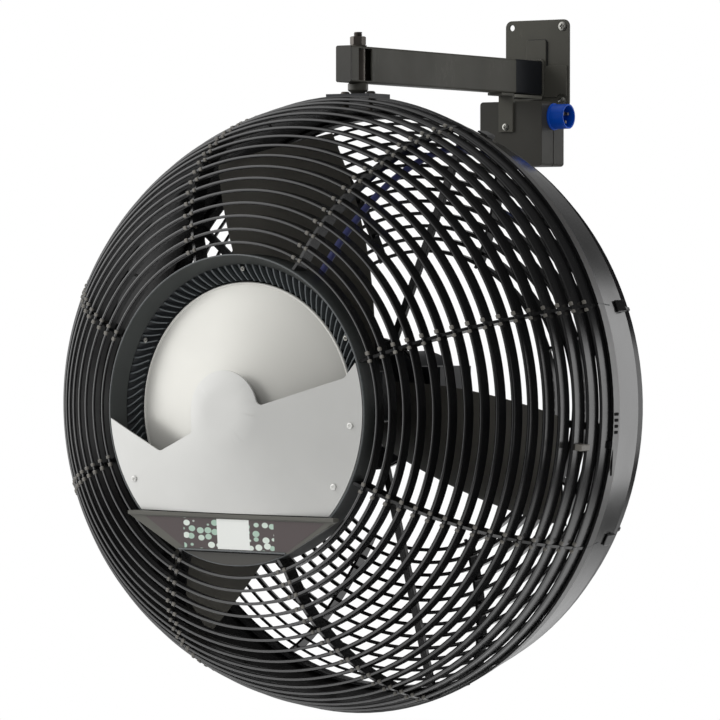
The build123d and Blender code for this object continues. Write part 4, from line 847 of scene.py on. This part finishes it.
class FAN_OT_bracket(PieceOperator, bpy.types.Operator):
    """Wall bracket: plate, flange, knuckle, arm, cap, strap and hanger, with weld beads and wall screws"""
    bl_idname = "wallfan.bracket"
    bl_label = "Wall bracket"

    def build(self, sizes):
        refined(BRACKET, sizes.edge_bevel, ("wall_plate", "arm_satin", 1.0), ("arm_flange", "arm_satin", 1.0),
                ("arm_knuckle", "knuckle_dark", 1.0), ("arm_tube", "arm_satin", 1.0),
                ("arm_cap", "cap_moulded", 1.0), ("box_strap", "arm_satin", 0.8))
        refined(BRACKET, MM, ("pivot_bush", "stud_dark", 0.3))
        low, high = box_mm("arm_knuckle")
        loop = rounded_loop(high[0] - low[0] + 2.0, high[2] - low[2] + 2.0, 4.0) + ((low + high) / 2)[[0, 2]]
        self.weld("flange_weld", loop, high[1] - 1.6, sizes.bead_radius / MM, "arm_satin")
        # Painted shadow: a thin dark bead round the flange's tab stands for the shadow line at its edge.
        low, high = box_mm("arm_flange")
        loop = rounded_loop(TAB_W + 0.6, high[2] - TAB_FOOT_Z, 4.0) + (0.0, (high[2] + TAB_FOOT_Z) / 2)
        self.weld("tab_weld", loop, high[1] - 0.6, TAB_SHADOW_LINE_R, "knuckle_dark")
        # Painted highlight: the flat hanger's lighter colour stands for light catching it.
        new_piece("box_hanger", [moved(pad(*HANGER), metres)], BRACKET, "hanger_light")
        self.wall_screws()

    def weld(self, name, loop, y, radius, key):
        """Weld bead along a loop of (x, z) points at one depth; the dark one round the flange's tab is a painted shadow
        line.
        """
        path = np.column_stack([loop[:, 0], np.full(len(loop), y), loop[:, 1]])
        new_piece(name, [moved(bead(path, radius), metres)], BRACKET, key)

    def wall_screws(self):
        """Two screws at the plate's right-hand holes; the others stay open."""
        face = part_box("wall_plate")[0][1] / MM
        head = forwards(pan_head(*WALL_HEAD), face - 0.2)
        parts = [moved(head, lambda p: metres(p + (WALL_SCREWS_X, 0.0, z))) for z in WALL_SCREWS_Z]
        new_piece("wall_screws", parts, BRACKET, "zinc")


class FAN_OT_control_box(PieceOperator, bpy.types.Operator):
    """Control box: both halves, seal, inlet, board and screws"""
    bl_idname = "wallfan.control_box"
    bl_label = "Control box"

    def build(self, sizes):
        refined(BRACKET, sizes.edge_bevel,
                ("control_box_base", "box_satin", 1.4), ("control_box_lid", "box_satin", 1.4),
                ("box_seal", "seal_rubber", 0.5), ("inlet_socket", "inlet_moulded", 0.5),
                ("inlet_pins", "pin_nickel", 0.5), ("box_screws", "zinc", 0.5), ("control_board", "board", 0.5))
        low, high = box_mm("strap_screw")
        head = forwards(pan_head((high[0] - low[0]) / 2, STRAP_HEAD_H), low[1] + STRAP_HEAD_H)
        spot = (low + high) / 2 * (1, 0, 1)
        new_piece("strap_screw_head", [moved(head, lambda p: metres(p + spot))], BRACKET, "zinc", ("strap_screw",))


class FAN_OT_pivot(PieceOperator, bpy.types.Operator):
    """Pivot: stud, nut, washer, collar, saddle and its bolts"""
    bl_idname = "wallfan.pivot"
    bl_label = "Pivot"

    def build(self, sizes):
        refined(HEAD, MM, ("pivot_washer", "stud_dark", 0.4), ("swivel_collar", "collar_turned", 0.6),
                ("saddle", "saddle_black", 0.8), ("saddle_bolts", "stud_dark", 0.8), ("saddle_nuts", "stud_dark", 0.4))
        low, high = box_mm("pivot_nut")
        nut = hex_nut(min(high[0] - low[0], high[1] - low[1]), high[2] - low[2], NUT_BORE_R)
        spot = (low + high) / 2 * (1, 1, 0) + (0, 0, low[2])
        new_piece("stud_nut", [moved(nut, lambda p: metres(p + spot))], HEAD, "stud_dark", ("pivot_nut",), 25.0)
        low, high = box_mm("pivot_bolt")
        rod = threaded((high[0] - low[0]) / 2, low[2], high[2], high[2] - THREAD_LENGTH)
        spot = (low + high) / 2 * (1, 1, 0)
        new_piece("pivot_stud", [moved(rod, lambda p: metres(p + spot))], HEAD, "stud_dark", ("pivot_bolt",), 60.0)


class FAN_OT_head(PieceOperator, bpy.types.Operator):
    """Fan head: rim, ears, rear guard, motor and its spider, hose and fittings"""
    bl_idname = "wallfan.head"
    bl_label = "Rim, rear guard and motor"

    def build(self, sizes):
        refined(HEAD, MM, ("rim_band", "rim_gloss", 0.8), ("rim_clips", "rim_gloss", 0.8),
                ("rear_guard", "guard_gloss", 0.5), ("motor_spider", "guard_gloss", 0.8),
                ("motor_housing", "motor_cast", 1.0), ("motor_front_bell", "motor_cast", 0.6),
                ("motor_back_bell", "motor_cast", 0.6), ("motor_screws", "zinc", 0.3),
                ("motor_stator", "core_ground", 0.0), ("bearings", "core_ground", 0.3),
                ("water_hose", "hose_moulded", 0.0), ("nose_fitting", "vane_satin", 0.4),
                ("rim_fitting", "vane_satin", 0.4))
        self.rear_rings()
        self.seams()

    def rear_rings(self):
        """Round front lips of the rear guard's rings, at equal steps of its superellipse, over the rings' wedges."""
        rings = stations((REAR_FLAT_R, -REAR_SET_BACK), (REAR_OUTER_R - REAR_FLAT_R, -REAR_BULGE), REAR_POWER,
                         REAR_FIRST + REAR_PITCH * np.arange(REAR_RINGS))
        parts = [moved(lathe(louvre_profile(5.0, 13.0) + (r, level + 0.6), steps=180))
                 for r, level in rings if r < REAR_LIP_R]
        new_piece("rear_ring_lips", parts, HEAD, "guard_gloss")

    def seams(self):
        """Thin raised seam of each guard joint on the rim's front edge, and the flange inside it."""
        seam = strip(SEAM_OUTER, SEAM_INNER, -SEAM_HALF, SEAM_HALF)
        new_piece("rim_seams", around([seam], SEGMENT_ANGLES), HEAD, "vane_satin")
        # Painted reflection: the flange's lighter colour stands for the sheen along it.
        new_piece("guard_flange", [moved(lathe(FLANGE_SECTION, steps=180))], HEAD, "flange_dull")


class FAN_OT_impeller(PieceOperator, bpy.types.Operator):
    """Impeller and shaft: hub, blades, rotor core, disc carrier and nut"""
    bl_idname = "wallfan.impeller"
    bl_label = "Impeller"

    def build(self, sizes):
        refined(ROTOR, MM, ("motor_shaft", "core_ground", 0.0), ("motor_core", "core_ground", 0.0),
                ("impeller_hub", "guard_gloss", 0.8), *((f"blade_{k}", "blade_satin", 0.0) for k in (1, 2, 3)),
                ("disc_carrier", "core_ground", 0.4), ("disc_nut", "zinc", 0.6))


class FAN_OT_stage(PieceOperator, bpy.types.Operator):
    """Floor, lights, world and camera"""
    bl_idname = "wallfan.stage"
    bl_label = "Studio"

    def build(self, sizes):
        scene = bpy.context.scene
        scene.view_settings.view_transform = "Standard"
        self.floor(CAD_BOX[0][2] - FLOOR_DROP)
        self.world(scene)
        for name, offset, size, power in SOFTBOXES:
            self.softbox(name, STUDIO_MIDDLE + offset, size, power)
        self.camera(scene)

    def floor(self, height):
        """Round pale floor below the fan: white to the camera but for the shadow, and fading out at its edge."""
        radius = np.array([FLOOR_REACH, 0.001])[:, None]
        mesh = make_mesh("floor", [surface(polar(radius, whole_turn(96), height) + (0.0, FLOOR_Y, 0.0))])
        paint = bpy.data.materials.new("floor")
        tree = cleared(paint)
        seen = maths(tree, "MAXIMUM", *rays(tree))
        matt = add(tree, "BsdfDiffuse", {"Color": (FLOOR_GREY, FLOOR_GREY, FLOOR_GREY, 1)})
        glow = add(tree, "Emission", {"Color": WHITE, "Strength": product(tree, seen, FLOOR_GLOW)})
        lit = add(tree, "AddShader", {0: matt.outputs[0], 1: glow.outputs[0]}).outputs[0]
        away = length_of(tree, centred_on(tree, (0.0, FLOOR_Y, height)))
        fade = ramp(tree, away, FLOOR_REACH * 0.55, FLOOR_REACH * 0.98)
        add(tree, "OutputMaterial", {0: mixed(tree, fade, lit, add(tree, "BsdfTransparent").outputs[0])})
        mesh.materials.append(paint)
        linked("floor", mesh)

    def world(self, scene):
        """White to the camera; for gloss a bright panel behind, and walls that dim towards the right and the floor."""
        scene.world = bpy.data.worlds.new("studio")
        tree = cleared(scene.world)
        toward = add(tree, "SeparateXYZ", {0: add(tree, "TexCoord").outputs["Generated"]}).outputs
        x, y, z = toward["X"], toward["Y"], toward["Z"]
        panel = product(tree, ramp(tree, y, *PANEL_BACK), ramp(tree, apart(tree, x, PANEL_X), *PANEL_ACROSS),
                        ramp(tree, apart(tree, z, 0.0), *PANEL_LEVEL))
        walls = product(tree, ramp(tree, x, *LEFT_WALL), ramp(tree, y, *LEFT_FRONT), ramp(tree, z, *LOW_WALL))
        under = product(tree, ramp(tree, apart(tree, z, UNDER_Z), *UNDER_LEVEL), ramp(tree, y, *UNDER_BACK))
        room = maths(tree, "ADD", maths(tree, "ADD", panel, under), walls)
        glossy, soft, white = (add(tree, "Background", {"Color": WHITE, "Strength": strength}).outputs[0]
                               for strength in (room, SOFT_LIGHT, 1.0))
        camera, shiny = rays(tree)
        add(tree, "OutputWorld", {0: mixed(tree, camera, mixed(tree, shiny, soft, glossy), white)})

    def softbox(self, name, spot, size, power):
        """Square area lamp that looks at the middle; the world alone shows in gloss."""
        lamp = bpy.data.lights.new(name, "AREA")
        lamp.shape, lamp.size, lamp.energy = "SQUARE", size, power
        holder = linked(name, lamp)
        holder.visible_camera = holder.visible_glossy = False
        holder.location, holder.rotation_euler = spot, looking(STUDIO_MIDDLE - spot)

    def camera(self, scene):
        lens = bpy.data.cameras.new("camera")
        lens.lens, lens.sensor_width, lens.clip_end = LENS, 36.0, 60.0
        scene.camera = linked("camera", lens)
        scene.camera.location, scene.camera.rotation_euler = CAMERA_SPOT, looking(CAMERA_AIM)


def looking(direction):
    """Rotation of a lamp or camera that looks along a direction."""
    vector = type(NODES["wall_plate"].location)(tuple(float(v) for v in direction))
    return vector.to_track_quat("-Z", "Y").to_euler()


PIECE_OPERATORS = (FAN_OT_guard, FAN_OT_nose, FAN_OT_bracket, FAN_OT_control_box, FAN_OT_pivot, FAN_OT_head,
                   FAN_OT_impeller, FAN_OT_stage)


class FAN_PT_panel(bpy.types.Panel):
    """Sidebar panel that lists the pieces"""
    bl_idname = "FAN_PT_panel"
    bl_label = "Wall fan"
    bl_space_type = "VIEW_3D"
    bl_region_type = "UI"
    bl_category = "Wall fan"

    def draw(self, context):
        for operator in PIECE_OPERATORS:
            self.layout.operator(operator.bl_idname)
        for group in (context.scene.fan_sizes, context.scene.fan_colours):
            for name in group.bl_rna.properties.keys():
                if name not in ("rna_type", "name"):
                    self.layout.prop(group, name)


CLASSES = (FanColours, FanSizes, *PIECE_OPERATORS, FAN_PT_panel)


def register():
    for cls in CLASSES:
        bpy.utils.register_class(cls)
    bpy.types.Scene.fan_colours = bpy.props.PointerProperty(type=FanColours)
    bpy.types.Scene.fan_sizes = bpy.props.PointerProperty(type=FanSizes)


def unregister():
    del bpy.types.Scene.fan_colours, bpy.types.Scene.fan_sizes
    for cls in reversed(CLASSES):
        bpy.utils.unregister_class(cls)


def main():
    register()
    for operator in PIECE_OPERATORS:
        name = operator.bl_idname.split(".")[1]
        if getattr(bpy.ops.wallfan, name)() != {"FINISHED"}:
            raise RuntimeError(f"{operator.bl_label} did not finish")


if __name__ == "__main__":
    main()
